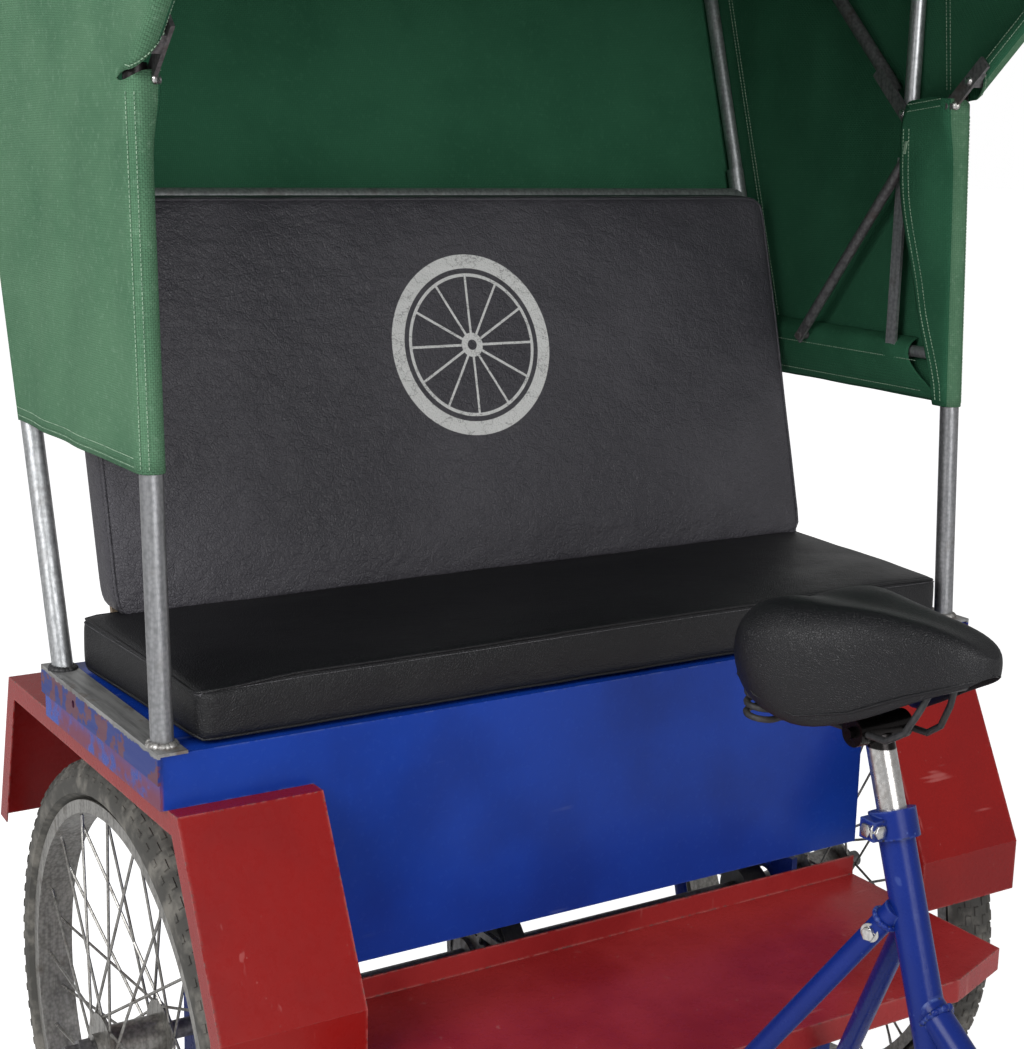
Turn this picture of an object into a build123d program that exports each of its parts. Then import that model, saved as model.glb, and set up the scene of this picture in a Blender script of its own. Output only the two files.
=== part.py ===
"""Three-wheeled pedal cycle rickshaw with a hooded bench behind the rider.

+X is the vehicle's left, -Y its front, +Z up, floor at Z = 0. All sizes in mm.
Stations along Y are first measured from the seat box's front panel, and the
last loop moves every piece so that the vehicle's length is centred on the origin.
"""

import os
from math import atan2, cos, degrees, hypot, pi, radians, sin, tan

from build123d import *

os.makedirs("parts", exist_ok=True)

# Driving dimensions
BOX_WIDTH = 1021.0
BOX_DEPTH = 320.0
BAND_HEIGHT = 53.0
SHEET = 2.0

TYRE_RADIUS = 302.0
TYRE_SECTION = 26.0
REAR_AXLE_Y = 192.0
ARCH_GAP = 24.0
AXLE_RADIUS = 10.0
RUNNING = 0.05
SEATED = 0.3

HEAD_TILT = 20.0
FORK_OFFSET = 45.0
BRACKET_Y = -556.0
SEAT_TUBE_TILT = 19.6
CRANK = 165.0
CHAIN_X = -60.0
CHAIN_PITCH = 12.7
RING_TEETH = 35
SPROCKET_TEETH = 20

POST_RADIUS = 11.0
BOW_RADIUS = 9.0
CLOTH = 3.0

# Heights and widths that follow from them
HALF = BOX_WIDTH / 2
BOX_TOP = 2 * TYRE_RADIUS + ARCH_GAP + BAND_HEIGHT
BAND_Z = BOX_TOP - BAND_HEIGHT
FLOOR_TOP = TYRE_RADIUS + 81
PANEL_Z = FLOOR_TOP + 48
PANEL_HALF = HALF - 155.5
BRACKET_Z = TYRE_RADIUS - 30
SEAT_TUBE_TOP = BOX_TOP - 5
FRONT_AXLE_Y = -898 - TYRE_RADIUS
ARCH_X0 = PANEL_HALF
ARCH_X1 = HALF - 7.5
WHEEL_X = ARCH_X1 - 32
SIDE_X = HALF - 12.5
CLOTH_X = SIDE_X + POST_RADIUS + SEATED
RING_RADIUS = RING_TEETH * CHAIN_PITCH / (2 * pi)
SPROCKET_RADIUS = SPROCKET_TEETH * CHAIN_PITCH / (2 * pi)

# The hood's bows in side view, as (y, z)
PIVOT = (60.0, BOX_TOP + 600)
FRONT_FOOT = (24.0, BOX_TOP + 1)
REAR_FOOT = (298.0, BOX_TOP + 1)
REAR_LEAN = 0.317
REAR_SPLIT = BOX_TOP + 515
REAR_RISE = 884.0
REAR_TOP = (REAR_FOOT[0] + REAR_LEAN * REAR_RISE, REAR_FOOT[1] + REAR_RISE)
RAIL_Z = BOX_TOP + 312
HEM_Z = BOX_TOP + 255
MID_Y = 138.0
MID_TOP = BOX_TOP + 965
VISOR_TOP = (-235.0, BOX_TOP + 893)
ELBOW = (MID_Y, BOX_TOP + 592)
QUARTER_TOP = (466.0, BOX_TOP + 917)
STAY_END = (291.0, RAIL_Z)

pieces = {}


def put(name, *shapes):
    """Keep a node, made of one solid or of like solids that don't touch."""
    pieces[name] = shapes[0] if len(shapes) == 1 else Compound(children=[s for s in shapes])


def mirrored(shape):
    return mirror(shape, about=Plane.YZ)


def both(shape):
    return shape + mirrored(shape)


def rod(start, end, radius, bore=0.0):
    """Round bar or tube between two points."""
    path = Vector(*end) - Vector(*start)
    plane = Plane(origin=start, z_dir=path)
    bar = extrude(plane * Circle(radius), path.length)
    if bore:
        bar -= extrude(plane * Circle(bore), path.length)
    return bar


def bent(points, bend, radius):
    """Round bar along corners rounded to the same bend."""
    path = FilletPolyline(*points, radius=bend)
    start = Plane(origin=path @ 0, z_dir=path % 0)
    return sweep(start * Circle(radius), path=path)


def block(x0, x1, y0, y1, z0, z1):
    """Box between two limits on each axis, given in either order."""
    middle = Pos((x0 + x1) / 2, (y0 + y1) / 2, (z0 + z1) / 2)
    return middle * Box(abs(x1 - x0), abs(y1 - y0), abs(z1 - z0))


def disc(x0, x1, radius, y, z):
    """Round bar along X between two limits, given in either order."""
    return Pos((x0 + x1) / 2, y, z) * Rot(0, 90, 0) * Cylinder(radius, abs(x1 - x0))


def hex_nut(x0, x1, radius, y, z):
    prism = Rot(0, 90, 0) * extrude(RegularPolygon(radius, 6), abs(x1 - x0))
    return Pos(min(x0, x1), y, z) * prism


def side_plate(points, x0, x1):
    """Prism along X with its outline in side view, given as (y, z)."""
    face = Plane.YZ * make_face(Polyline(*points, close=True))
    return Pos(min(x0, x1), 0, 0) * extrude(face, abs(x1 - x0))


def about_x(points, turn=360):
    """Solid turned about X from a closed outline of (x, r)."""
    return revolve(make_face(Polyline(*points, close=True)), Axis.X, turn)


# Seat box: a shallow band over the wheel arches and a deep middle between them
seat_box = block(-HALF, HALF, 0, BOX_DEPTH, BAND_Z, BOX_TOP)
seat_box += block(-PANEL_HALF, PANEL_HALF, 0, BOX_DEPTH, PANEL_Z, BOX_TOP)
inner_half = HALF - SHEET
inner_panel = PANEL_HALF - SHEET
inner = block(-inner_half, inner_half, SHEET, BOX_DEPTH - SHEET, BAND_Z + SHEET, BOX_TOP - SHEET)
inner += block(-inner_panel, inner_panel, SHEET, BOX_DEPTH - SHEET, PANEL_Z - 10, BOX_TOP - SHEET)
put("seat_box", seat_box - inner)

# Rear mudguards: a sheet folded along a five-point side view, lipped both sides
ARCH_LIP = 22.0
ARCH_SHEET = 1.5
ARCH_FRONT = REAR_AXLE_Y - TYRE_RADIUS - 4
ARCH_REAR = REAR_AXLE_Y + TYRE_RADIUS + 28
ARCH_FOLD = FLOOR_TOP + 60
arch = [
    (ARCH_FRONT, FLOOR_TOP + SEATED),
    (ARCH_FRONT, ARCH_FOLD),
    (ARCH_FRONT + 93, BAND_Z),
    (ARCH_REAR - 50, BAND_Z),
    (ARCH_REAR, ARCH_FOLD + 4),
]


def inset(points, depth, beyond):
    """Side view moved inwards, its two ends run on past the first and last points."""
    angles = [atan2(z1 - z0, y1 - y0) for (y0, z0), (y1, z1) in zip(points, points[1:])]
    angles = [angles[0], *angles, angles[-1]]
    moved = []
    for (y, z), a, b in zip(points, angles, angles[1:]):
        middle = (a + b) / 2 - pi / 2
        reach = depth / cos((a - b) / 2)
        moved.append((y + reach * cos(middle), z + reach * sin(middle)))
    moved[0] = (moved[0][0] - beyond * cos(angles[0]), moved[0][1] - beyond * sin(angles[0]))
    moved[-1] = (moved[-1][0] + beyond * cos(angles[-1]), moved[-1][1] + beyond * sin(angles[-1]))
    return moved


fender = side_plate(arch, ARCH_X0, ARCH_X1)
fender -= side_plate(inset(arch, ARCH_SHEET, 30), ARCH_X0 + ARCH_SHEET, ARCH_X1 - ARCH_SHEET)
fender -= side_plate(inset(arch, ARCH_LIP, 30), ARCH_X0 - 1, ARCH_X1 + 1)
put("fender_left", fender)
put("fender_right", mirrored(fender))

# Footboard: tray with its front corners cut, lipped down all round and up behind
FLOOR_HALF = PANEL_HALF + 11
FLOOR_REAR = 13.5
FLOOR_FRONT = -257.0
FLOOR_LIP = 25.0
FLOOR_RISE = 23.0
CORNER_X = 95.0
CORNER_Y = 34.0
plan = make_face(
    Polyline(
        (-FLOOR_HALF, FLOOR_REAR),
        (-FLOOR_HALF, FLOOR_FRONT + CORNER_Y),
        (-FLOOR_HALF + CORNER_X, FLOOR_FRONT),
        (FLOOR_HALF - CORNER_X, FLOOR_FRONT),
        (FLOOR_HALF, FLOOR_FRONT + CORNER_Y),
        (FLOOR_HALF, FLOOR_REAR),
        close=True,
    )
)
tray = Pos(0, 0, FLOOR_TOP - FLOOR_LIP) * extrude(plan, FLOOR_LIP)
hollow = extrude(offset(plan, -SHEET, kind=Kind.INTERSECTION), FLOOR_LIP)
tray -= Pos(0, 0, FLOOR_TOP - FLOOR_LIP - SHEET) * hollow
tray += block(-FLOOR_HALF, FLOOR_HALF, FLOOR_REAR - SHEET, FLOOR_REAR, FLOOR_TOP - 1, FLOOR_TOP + FLOOR_RISE)
put("footboard", tray)

# Angle irons along the box's top edges, drilled, with the hood's posts on them
ANGLE_LEG = 27.0
ANGLE_THICK = 3.0
HOLE_RADIUS = 4.0
HOLE_Y = BOX_DEPTH - 96
over_end = 3.0
outside = HALF + ANGLE_THICK
angle = block(HALF - ANGLE_LEG, outside, -over_end, BOX_DEPTH + over_end, BOX_TOP, BOX_TOP + ANGLE_THICK)
angle += block(HALF, outside, -over_end, BOX_DEPTH + over_end, BOX_TOP - ANGLE_LEG, BOX_TOP + ANGLE_THICK)
angle -= disc(HALF - 10, HALF + 20, HOLE_RADIUS, HOLE_Y, BOX_TOP - 13)
put("side_angles", angle, mirrored(angle))


def rear_y(z):
    """Where the rear posts' line is at a height."""
    return REAR_FOOT[0] + REAR_LEAN * (z - REAR_FOOT[1])


def front_y(z):
    """Where the front posts' line is at a height."""
    rise = (z - FRONT_FOOT[1]) / (PIVOT[1] - FRONT_FOOT[1])
    return FRONT_FOOT[0] + rise * (PIVOT[0] - FRONT_FOOT[0])


def front_axis(z):
    return (SIDE_X, front_y(z), z)


def rear_axis(z):
    return (SIDE_X, rear_y(z), z)


deck = block(-HALF, HALF + 90, -100, 500, BOX_TOP - 60, BOX_TOP + ANGLE_THICK)
front_post = rod(front_axis(FRONT_FOOT[1]), front_axis(PIVOT[1] + 14), POST_RADIUS) - deck
rear_post = rod(rear_axis(BOX_TOP - 20), rear_axis(REAR_SPLIT), POST_RADIUS) - deck
put("front_posts", front_post, mirrored(front_post))
put("rear_posts", rear_post, mirrored(rear_post))

RAIL_RADIUS = 7.0
RAIL_X = CLOTH_X - SEATED - RAIL_RADIUS
rail_ends = ((RAIL_X, front_y(RAIL_Z), RAIL_Z), (RAIL_X, rear_y(RAIL_Z), RAIL_Z))
side_rail = rod(*rail_ends, RAIL_RADIUS) - front_post - rear_post
put("side_rails", side_rail, mirrored(side_rail))

# Bench: a seat cushion and a padded back on its board, leaning on a cross rail
SEAT_PAD = 61.0
CUSHION_TOP = BOX_TOP + SEAT_PAD
CUSHION_HALF = HALF - 33.5
BACK_TOP = BOX_TOP + 492
BACK_HALF = HALF - 44
BACK_SHIFT = 14.0
BACK_LEAN = 0.266
BACK_PAD = 54.0
BOARD = 7.0


def back_y(z):
    """Front of the back cushion at a height."""
    return 264.5 + BACK_LEAN * (z - CUSHION_TOP)


def leaning(z0, z1, behind, thick):
    """Side view parallel to the back cushion, its front behind the cushion's."""
    return [
        (back_y(z0) + behind, z0),
        (back_y(z1) + behind, z1),
        (back_y(z1) + behind + thick, z1),
        (back_y(z0) + behind + thick, z0),
    ]


back_pad = side_plate(leaning(CUSHION_TOP + SEATED, BACK_TOP, 0, BACK_PAD), -BACK_HALF, BACK_HALF)
put("back_cushion", Pos(BACK_SHIFT, 0, 0) * back_pad)
board_half = BACK_HALF - 30
board_side = leaning(BOX_TOP, BACK_TOP - 26, BACK_PAD + SEATED, BOARD)
put("back_board", side_plate(board_side, -board_half, board_half))
seat_rear = back_y(BOX_TOP) + BACK_PAD
put("seat_cushion", block(-CUSHION_HALF, CUSHION_HALF, -4, seat_rear - 13, BOX_TOP + SEATED, CUSHION_TOP))
TOP_RAIL_Z = BOX_TOP + 480
top_rail_y = rear_y(TOP_RAIL_Z)
top_rail = rod((-SIDE_X, top_rail_y, TOP_RAIL_Z), (SIDE_X, top_rail_y, TOP_RAIL_Z), POST_RADIUS)
put("top_rail", top_rail - both(rear_post))

# Hood bows: a tube's legs and crossbar in one leaning plane
BOW_X = CLOTH_X - SEATED - BOW_RADIUS
BOW_BEND = 110.0
FLAT = 4.0


def bow(foot, top, radius, bend):
    (y0, z0), (y1, z1) = foot, top
    points = [(BOW_X, y0, z0), (BOW_X, y1, z1), (-BOW_X, y1, z1), (-BOW_X, y0, z0)]
    return bent(points, bend, radius)


def strap(x0, x1, foot, end, width):
    """Flattened leg end between two side-view points."""
    (y0, z0), (y1, z1) = foot, end
    length = hypot(y1 - y0, z1 - z0)
    ky, kz = (y1 - y0) / length, (z1 - z0) / length
    w = width / 2
    outline = [
        (y0 - w * ky - w * kz, z0 - w * kz + w * ky),
        (y1 - w * kz, z1 + w * ky),
        (y1 + w * kz, z1 - w * ky),
        (y0 - w * ky + w * kz, z0 - w * kz - w * ky),
    ]
    return side_plate(outline, x0, x1)


def along(foot, top, distance):
    """Side-view point some way from one point towards another."""
    (y0, z0), (y1, z1) = foot, top
    length = hypot(y1 - y0, z1 - z0)
    return (y0 + distance * (y1 - y0) / length, z0 + distance * (z1 - z0) / length)


rear_start = REAR_SPLIT + SEATED
put("rear_bow", bow((rear_y(rear_start), rear_start), REAR_TOP, BOW_RADIUS, BOW_BEND))

MID_LAP = BOX_TOP + 520
mid_x = RAIL_X - RAIL_RADIUS - SEATED
mid_bow = bow((MID_Y, MID_LAP), (MID_Y, MID_TOP), BOW_RADIUS, BOW_BEND)
mid_bow += both(strap(mid_x - FLAT, mid_x, (MID_Y, RAIL_Z), (MID_Y, MID_LAP + 20), 16))
put("mid_bow", mid_bow)

PIN_RADIUS = 4.5
visor_x = SIDE_X - POST_RADIUS - SEATED
visor_foot = along(PIVOT, VISOR_TOP, 45)
visor_bow = bow(visor_foot, VISOR_TOP, BOW_RADIUS, BOW_BEND)
visor_bow += both(strap(visor_x - FLAT, visor_x, PIVOT, along(PIVOT, VISOR_TOP, 70), 16))
visor_bow += both(strap(visor_x - FLAT, BOW_X, visor_foot, along(PIVOT, VISOR_TOP, 58), 15))
visor_bow -= disc(-HALF, HALF, PIN_RADIUS + SEATED, *PIVOT)
put("visor_bow", visor_bow)

elbow_x = BOW_X - BOW_RADIUS - SEATED
quarter_foot = along(ELBOW, QUARTER_TOP, 40)
quarter_bow = bow(quarter_foot, QUARTER_TOP, BOW_RADIUS - 1, BOW_BEND)
quarter_bow += both(strap(elbow_x - FLAT, elbow_x, ELBOW, along(ELBOW, QUARTER_TOP, 70), 16))
quarter_bow += both(strap(elbow_x - FLAT, BOW_X, quarter_foot, along(ELBOW, QUARTER_TOP, 56), 14))
put("quarter_bow", quarter_bow)

# Stays: flattened at both ends, pinned to the front post and the side rail
stay_x = visor_x - 2 * FLAT - SEATED
stay_knee = along((PIVOT[0] + 16, PIVOT[1]), STAY_END, 34)
stay = strap(stay_x, stay_x + FLAT, PIVOT, stay_knee, 14)
stay += strap(stay_x, stay_x + FLAT, stay_knee, along(stay_knee, STAY_END, 30), 14)
stay += strap(stay_x, stay_x + FLAT, STAY_END, along(STAY_END, stay_knee, 34), 13)
tube_ends = (along(stay_knee, STAY_END, 10), along(STAY_END, stay_knee, 22))
stay += rod((stay_x + 2, *tube_ends[0]), (stay_x + 2, *tube_ends[1]), 6.5)
stay += disc(stay_x - 3, visor_x, PIN_RADIUS, *PIVOT)
stay += disc(stay_x - 3, mid_x, PIN_RADIUS, *STAY_END)
put("stays", stay, mirrored(stay))

# Hood cloth: sides and back, a ruled top over the bows, and sleeves on the posts
HOOD_BEND = BOW_BEND + BOW_RADIUS + SEATED + CLOTH
over = BOW_RADIUS + SEATED + CLOTH
SLEEVE = POST_RADIUS + SEATED + CLOTH


def hood(depth, ahead, drop):
    """Filled hood, its walls moved in by depth and its front and foot run on."""
    x = CLOTH_X + CLOTH - depth
    reach = over - depth
    z0 = PIVOT[1]
    back = (reach + POST_RADIUS - BOW_RADIUS) * hypot(1, REAR_LEAN)
    lower = [
        (front_y(HEM_Z - drop) - ahead, HEM_Z - drop),
        (front_y(z0) - ahead, z0),
        (rear_y(z0) + back, z0),
        (rear_y(HEM_Z - drop) + back, HEM_Z - drop),
    ]
    body = side_plate(lower, -x, x)
    tops = [VISOR_TOP, (MID_Y, MID_TOP), QUARTER_TOP, REAR_TOP]
    lines = []
    for (y0, h0), (y1, h1) in zip(tops, tops[1:]):
        run = hypot(y1 - y0, h1 - h0)
        ny, nz = -(h1 - h0) / run, (y1 - y0) / run
        lines.append((y0 + reach * ny, h0 + reach * nz, ny, nz))
    # Stations: leg's foot, its top, shift of both along Y, roof lines met
    lean = (QUARTER_TOP[0] - ELBOW[0]) / (QUARTER_TOP[1] - ELBOW[1])
    quarter_foot_y = ELBOW[0] + (z0 - ELBOW[1]) * lean
    stations = [
        (PIVOT, VISOR_TOP, -SLEEVE - ahead, lines[:1]),
        (PIVOT, VISOR_TOP, 0.0, lines[:1]),
        ((MID_Y, z0), (MID_Y, MID_TOP), 0.0, lines[:2]),
        ((quarter_foot_y, z0), QUARTER_TOP, 0.0, lines[1:]),
        ((rear_y(z0), z0), REAR_TOP, 0.0, lines[2:]),
        ((rear_y(z0), z0), REAR_TOP, back, lines[2:]),
    ]
    faces = []
    for (y0, foot_z), (y1, z1), shift, roofs in stations:
        rise = hypot(y1 - y0, z1 - foot_z)
        ky, kz = (y1 - y0) / rise, (z1 - foot_z) / rise
        y0 += shift
        height = max(
            ((ly - y0) * ny + (lz - foot_z) * nz) / (ky * ny + kz * nz) for ly, lz, ny, nz in roofs
        )
        plane = Plane(origin=(0, y0, foot_z), x_dir=(1, 0, 0), z_dir=(0, -kz, ky))
        face = Pos(0, height / 2) * Rectangle(2 * x, height)
        face = fillet(face.vertices().group_by(Axis.Y)[-1], HOOD_BEND - depth)
        faces.append(plane * face)
    return body + loft(faces, ruled=True)


SLEEVE_TOP = PIVOT[1] - 18
post_run = Vector(*front_axis(SLEEVE_TOP)) - Vector(*front_axis(HEM_Z))
post_plane = Plane(origin=front_axis(HEM_Z), x_dir=(1, 0, 0), z_dir=post_run)
half_ring = Circle(SLEEVE) - Circle(POST_RADIUS + SEATED) - Pos(0, SLEEVE) * Rectangle(60, 2 * SLEEVE)
half_ring += Pos(-SLEEVE + CLOTH / 2, 6) * Rectangle(CLOTH, 12)
sleeve = extrude(post_plane * half_ring, post_run.length)
sleeve -= rod(*rail_ends, RAIL_RADIUS + SEATED)
canopy = hood(0.0, 0.0, 0.0) - hood(CLOTH, 25.0, 12.0)
canopy += both(sleeve)
put("canopy", canopy)

# Running gear: one wheel, placed three times
RIM_RADIUS = TYRE_RADIUS - 45
RIM_HALF = 20.0
RIM_WALL = 3.0
BED = RIM_RADIUS - 11
HUB_RADIUS = 21.0
HUB_HALF = 30.0
HUB_END = HUB_HALF + 12
FLANGE_RADIUS = 36.0
SPOKES = 36
SPOKE_RADIUS = 1.6
SPOKE_SWEEP = 55.0
BEAD = RIM_HALF - RIM_WALL - 2
TYRE_FOOT = BED + 2
SHOULDER = TYRE_RADIUS - 16
TYRE_SIDES = 60
lip = BEAD + (TYRE_SECTION - BEAD) * (RIM_RADIUS - TYRE_FOOT) / (SHOULDER - TYRE_FOOT)

half_tyre = [
    (11.0, TYRE_RADIUS),
    (TYRE_SECTION, SHOULDER),
    (BEAD, TYRE_FOOT),
]
half_rim = [
    (BEAD, BED),
    (lip + SEATED, RIM_RADIUS),
    (RIM_HALF, RIM_RADIUS),
    (RIM_HALF, BED - RIM_WALL),
]
half_hub = [
    (HUB_HALF, HUB_RADIUS),
    (HUB_HALF, FLANGE_RADIUS),
    (HUB_HALF + 4, FLANGE_RADIUS),
    (HUB_HALF + 4, 16),
    (HUB_END, 16),
    (HUB_END, 0),
]


def doubled(points):
    """Outline of (x, r) with its mirror image, going round."""
    return points + [(-x, r) for x, r in reversed(points)]


def many_sided(x, radius, corners_on=True):
    """Polygon in side view with its corners, or its sides, on a radius."""
    plane = Plane(origin=(x, 0, 0), x_dir=(0, 1, 0), z_dir=(1, 0, 0))
    return plane * RegularPolygon(radius, TYRE_SIDES, major_radius=corners_on)


tyre = loft([many_sided(x, r) for x, r in half_tyre[::-1] + [(-x, r) for x, r in half_tyre]], ruled=True)
tyre -= extrude(many_sided(-TYRE_SECTION, BED, False), 2 * TYRE_SECTION)
rim = about_x(doubled(half_rim))
hub = about_x(doubled(half_hub))
spokes = []
for n in range(SPOKES):
    side = 1 if n % 2 else -1
    lean = SPOKE_SWEEP if n % 4 < 2 else -SPOKE_SWEEP
    at = radians(n * 360 / SPOKES)
    root = at + radians(lean)
    inner_end = (side * (HUB_HALF + 2), 32 * cos(root), 32 * sin(root))
    outer_end = (side * 6, (BED - 1.5) * cos(at), (BED - 1.5) * sin(at))
    path = Vector(*outer_end) - Vector(*inner_end)
    section = Plane(origin=inner_end, z_dir=path) * RegularPolygon(SPOKE_RADIUS, 6)
    spokes.append(extrude(section, path.length))
wheel = rim.fuse(hub, *spokes)


def bored(radius):
    return wheel - disc(-HUB_END - 5, HUB_END + 5, radius, 0, 0)


AXLE_Z = TYRE_RADIUS
FRONT_AXLE_RADIUS = 5.0
left_hub = Pos(WHEEL_X, REAR_AXLE_Y, AXLE_Z)
right_hub = Pos(-WHEEL_X, REAR_AXLE_Y, AXLE_Z)
front_hub = Pos(0, FRONT_AXLE_Y, AXLE_Z)
put("tyre_rear_left", left_hub * tyre)
put("tyre_rear_right", right_hub * tyre)
put("tyre_front", front_hub * tyre)
put("wheel_rear_left", left_hub * bored(AXLE_RADIUS + RUNNING))
put("wheel_rear_right", right_hub * bored(AXLE_RADIUS))
put("wheel_front", front_hub * bored(FRONT_AXLE_RADIUS + RUNNING))


def toothed(radius, teeth, thick):
    """Sprocket plate about its pitch circle, its teeth cut to points."""
    outline = []
    for n in range(teeth):
        for part, rise in ((-0.34, -4.2), (-0.1, 3.6), (0.1, 3.6), (0.34, -4.2)):
            a = 2 * pi * (n + part) / teeth
            outline.append(((radius + rise) * cos(a), (radius + rise) * sin(a)))
    return side_plate(outline, CHAIN_X - thick / 2, CHAIN_X + thick / 2)


# Rear axle: the right wheel, sprocket and brake drum turn with it
AXLE_HALF = WHEEL_X + HUB_END + 4
NUT = 12.0
STUB = 14.0
DRUM_RADIUS = 58.0
DRUM_X0 = CHAIN_X + 14
DRUM_X1 = CHAIN_X + 44
SPROCKET_THICK = 2.4
axle = disc(-AXLE_HALF - NUT - STUB, AXLE_HALF + NUT + STUB, AXLE_RADIUS, REAR_AXLE_Y, AXLE_Z)
axle += Pos(0, REAR_AXLE_Y, AXLE_Z) * toothed(SPROCKET_RADIUS, SPROCKET_TEETH, SPROCKET_THICK)
axle += disc(CHAIN_X - 8, DRUM_X1, 22, REAR_AXLE_Y, AXLE_Z)
axle += disc(DRUM_X0, DRUM_X1, DRUM_RADIUS, REAR_AXLE_Y, AXLE_Z)
for side in (-1, 1):
    axle += hex_nut(side * AXLE_HALF, side * (AXLE_HALF + NUT), 15, REAR_AXLE_Y, AXLE_Z)
put("rear_axle", axle)

# Chassis: two rails from the bottom bracket under the axle, and an axle carrier
RAIL_TUBE = 12.5
BEAM_Z = AXLE_Z - 76
BEAM_RADIUS = 13.0
BEAM_Y = (REAR_AXLE_Y - 46, REAR_AXLE_Y + 46)
BEARING_X = PANEL_HALF - 3
UPRIGHT_X = PANEL_HALF + 32
BEAM_HALF = UPRIGHT_X + 11
rail_points = [
    (20, BRACKET_Y + 12, BRACKET_Z - 2),
    (36, BRACKET_Y + 212, BRACKET_Z - 12),
    (118, BRACKET_Y + 338, BRACKET_Z - 22),
    (232, BEAM_Y[1], BEAM_Z),
]
rail = bent(rail_points, 90.0, RAIL_TUBE)
beams = disc(-BEAM_HALF, BEAM_HALF, BEAM_RADIUS, BEAM_Y[0], BEAM_Z)
beams += disc(-BEAM_HALF, BEAM_HALF, BEAM_RADIUS, BEAM_Y[1], BEAM_Z)
carrier = beams
for side in (-1, 1):
    x = side * UPRIGHT_X
    plate = block(x - 4, x + 4, BEAM_Y[0] - 8, BEAM_Y[1] + 8, BEAM_Z, AXLE_Z + 50)
    carrier += plate - disc(x - 20, x + 20, 20, REAR_AXLE_Y, AXLE_Z)
    post_top = BAND_Z - ARCH_SHEET
    carrier += block(x - 14, x + 14, REAR_AXLE_Y - 14, REAR_AXLE_Y + 14, AXLE_Z + 30, post_top)
put("axle_carrier", carrier)
shell_bore = disc(-40, 40, 17, BRACKET_Y, BRACKET_Z)
rail = rail - shell_bore - beams
put("frame_rails", rail, mirrored(rail))

bearing_x0 = BEARING_X - 17
bearing_x1 = BEARING_X + 17
foot_z = BEAM_Z + BEAM_RADIUS
bearing = block(bearing_x0, bearing_x1, BEAM_Y[0] - 14, BEAM_Y[1] + 14, foot_z, foot_z + 14)
bearing += block(bearing_x0, bearing_x1, REAR_AXLE_Y - 28, REAR_AXLE_Y + 28, foot_z + 7, AXLE_Z)
bearing += disc(bearing_x0, bearing_x1, 28, REAR_AXLE_Y, AXLE_Z)
bearing -= disc(bearing_x0 - 5, bearing_x1 + 5, AXLE_RADIUS + RUNNING, REAR_AXLE_Y, AXLE_Z)
put("bearings", bearing, mirrored(bearing))

# Main frame in the centre plane
SEAT_TUBE = 16.0
SEAT_BORE = 13.0
COLLAR = 21.0
SHELL_HALF = 36.0
SHELL_RADIUS = 22.0
SHELL_BORE = 17.0
CRANK_AXLE = 8.0
LUG_TOP = BOX_TOP - 86


def seat_axis(z):
    """Centre of the seat tube at a height."""
    return (0, BRACKET_Y + (z - BRACKET_Z) * tan(radians(SEAT_TUBE_TILT)), z)


bracket = (0, BRACKET_Y, BRACKET_Z)
seat_bar = rod(bracket, seat_axis(SEAT_TUBE_TOP), SEAT_TUBE)
shell = disc(-SHELL_HALF, SHELL_HALF, SHELL_RADIUS, BRACKET_Y, BRACKET_Z)
seat_tube = seat_bar + rod(seat_axis(SEAT_TUBE_TOP - 24), seat_axis(SEAT_TUBE_TOP), COLLAR)
lug = seat_axis(SEAT_TUBE_TOP - 12)
seat_tube += block(-COLLAR - 11, -COLLAR + 3, lug[1] - 9, lug[1] + 9, lug[2] - 9, lug[2] + 9)
seat_tube -= rod(seat_axis(SEAT_TUBE_TOP - 170), seat_axis(SEAT_TUBE_TOP + 10), SEAT_BORE)
seat_tube += shell
seat_tube -= disc(-50, 50, SHELL_BORE, BRACKET_Y, BRACKET_Z)
for side in (-1, 1):
    seat_tube += disc(side * SHELL_HALF, side * (SHELL_HALF - 10), SHELL_BORE + 0.5, BRACKET_Y, BRACKET_Z)
seat_tube -= disc(-50, 50, CRANK_AXLE + RUNNING, BRACKET_Y, BRACKET_Z)
seat_tube -= both(rail)
put("seat_tube", seat_tube)

head = radians(HEAD_TILT)
CROWN = TYRE_RADIUS + 46
HEAD_LOW = CROWN + 24
HEAD_HIGH = HEAD_LOW + 160
HEAD_RADIUS = 19.0
STEERER = 14.0


def on_head(s, x=0.0, ahead=0.0):
    """Point s up the steering axis, and some way ahead of it."""
    y = FRONT_AXLE_Y + FORK_OFFSET * cos(head) + s * sin(head) - ahead * cos(head)
    z = AXLE_Z - FORK_OFFSET * sin(head) + s * cos(head) + ahead * sin(head)
    return (x, y, z)


head_bar = rod(on_head(HEAD_LOW), on_head(HEAD_HIGH), HEAD_RADIUS)
put("head_tube", head_bar - rod(on_head(HEAD_LOW - 10), on_head(HEAD_HIGH + 10), STEERER + RUNNING))
head_room = rod(on_head(HEAD_LOW - 40), on_head(HEAD_HIGH + 40), HEAD_RADIUS)

down_tube = rod(bracket, on_head(HEAD_LOW + 28), 16)
put("down_tube", down_tube - head_room - shell - seat_bar - both(rail))

LOOP_Z = BOX_TOP - 160
loop_points = [
    seat_axis(LOOP_Z),
    (0, BRACKET_Y - 94, BRACKET_Z + 122),
    on_head(HEAD_HIGH - 45),
]
put("loop_tube", bent(loop_points, 180, 14) - seat_bar - head_room)

stay_top = seat_axis(LUG_TOP)
seat_stay = rod(
    (12, stay_top[1] + 4, stay_top[2]), (117, BRACKET_Y + 337, BRACKET_Z - 20), 10
)
seat_stay = seat_stay - seat_bar - rail
put("seat_stays", seat_stay, mirrored(seat_stay))

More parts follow.
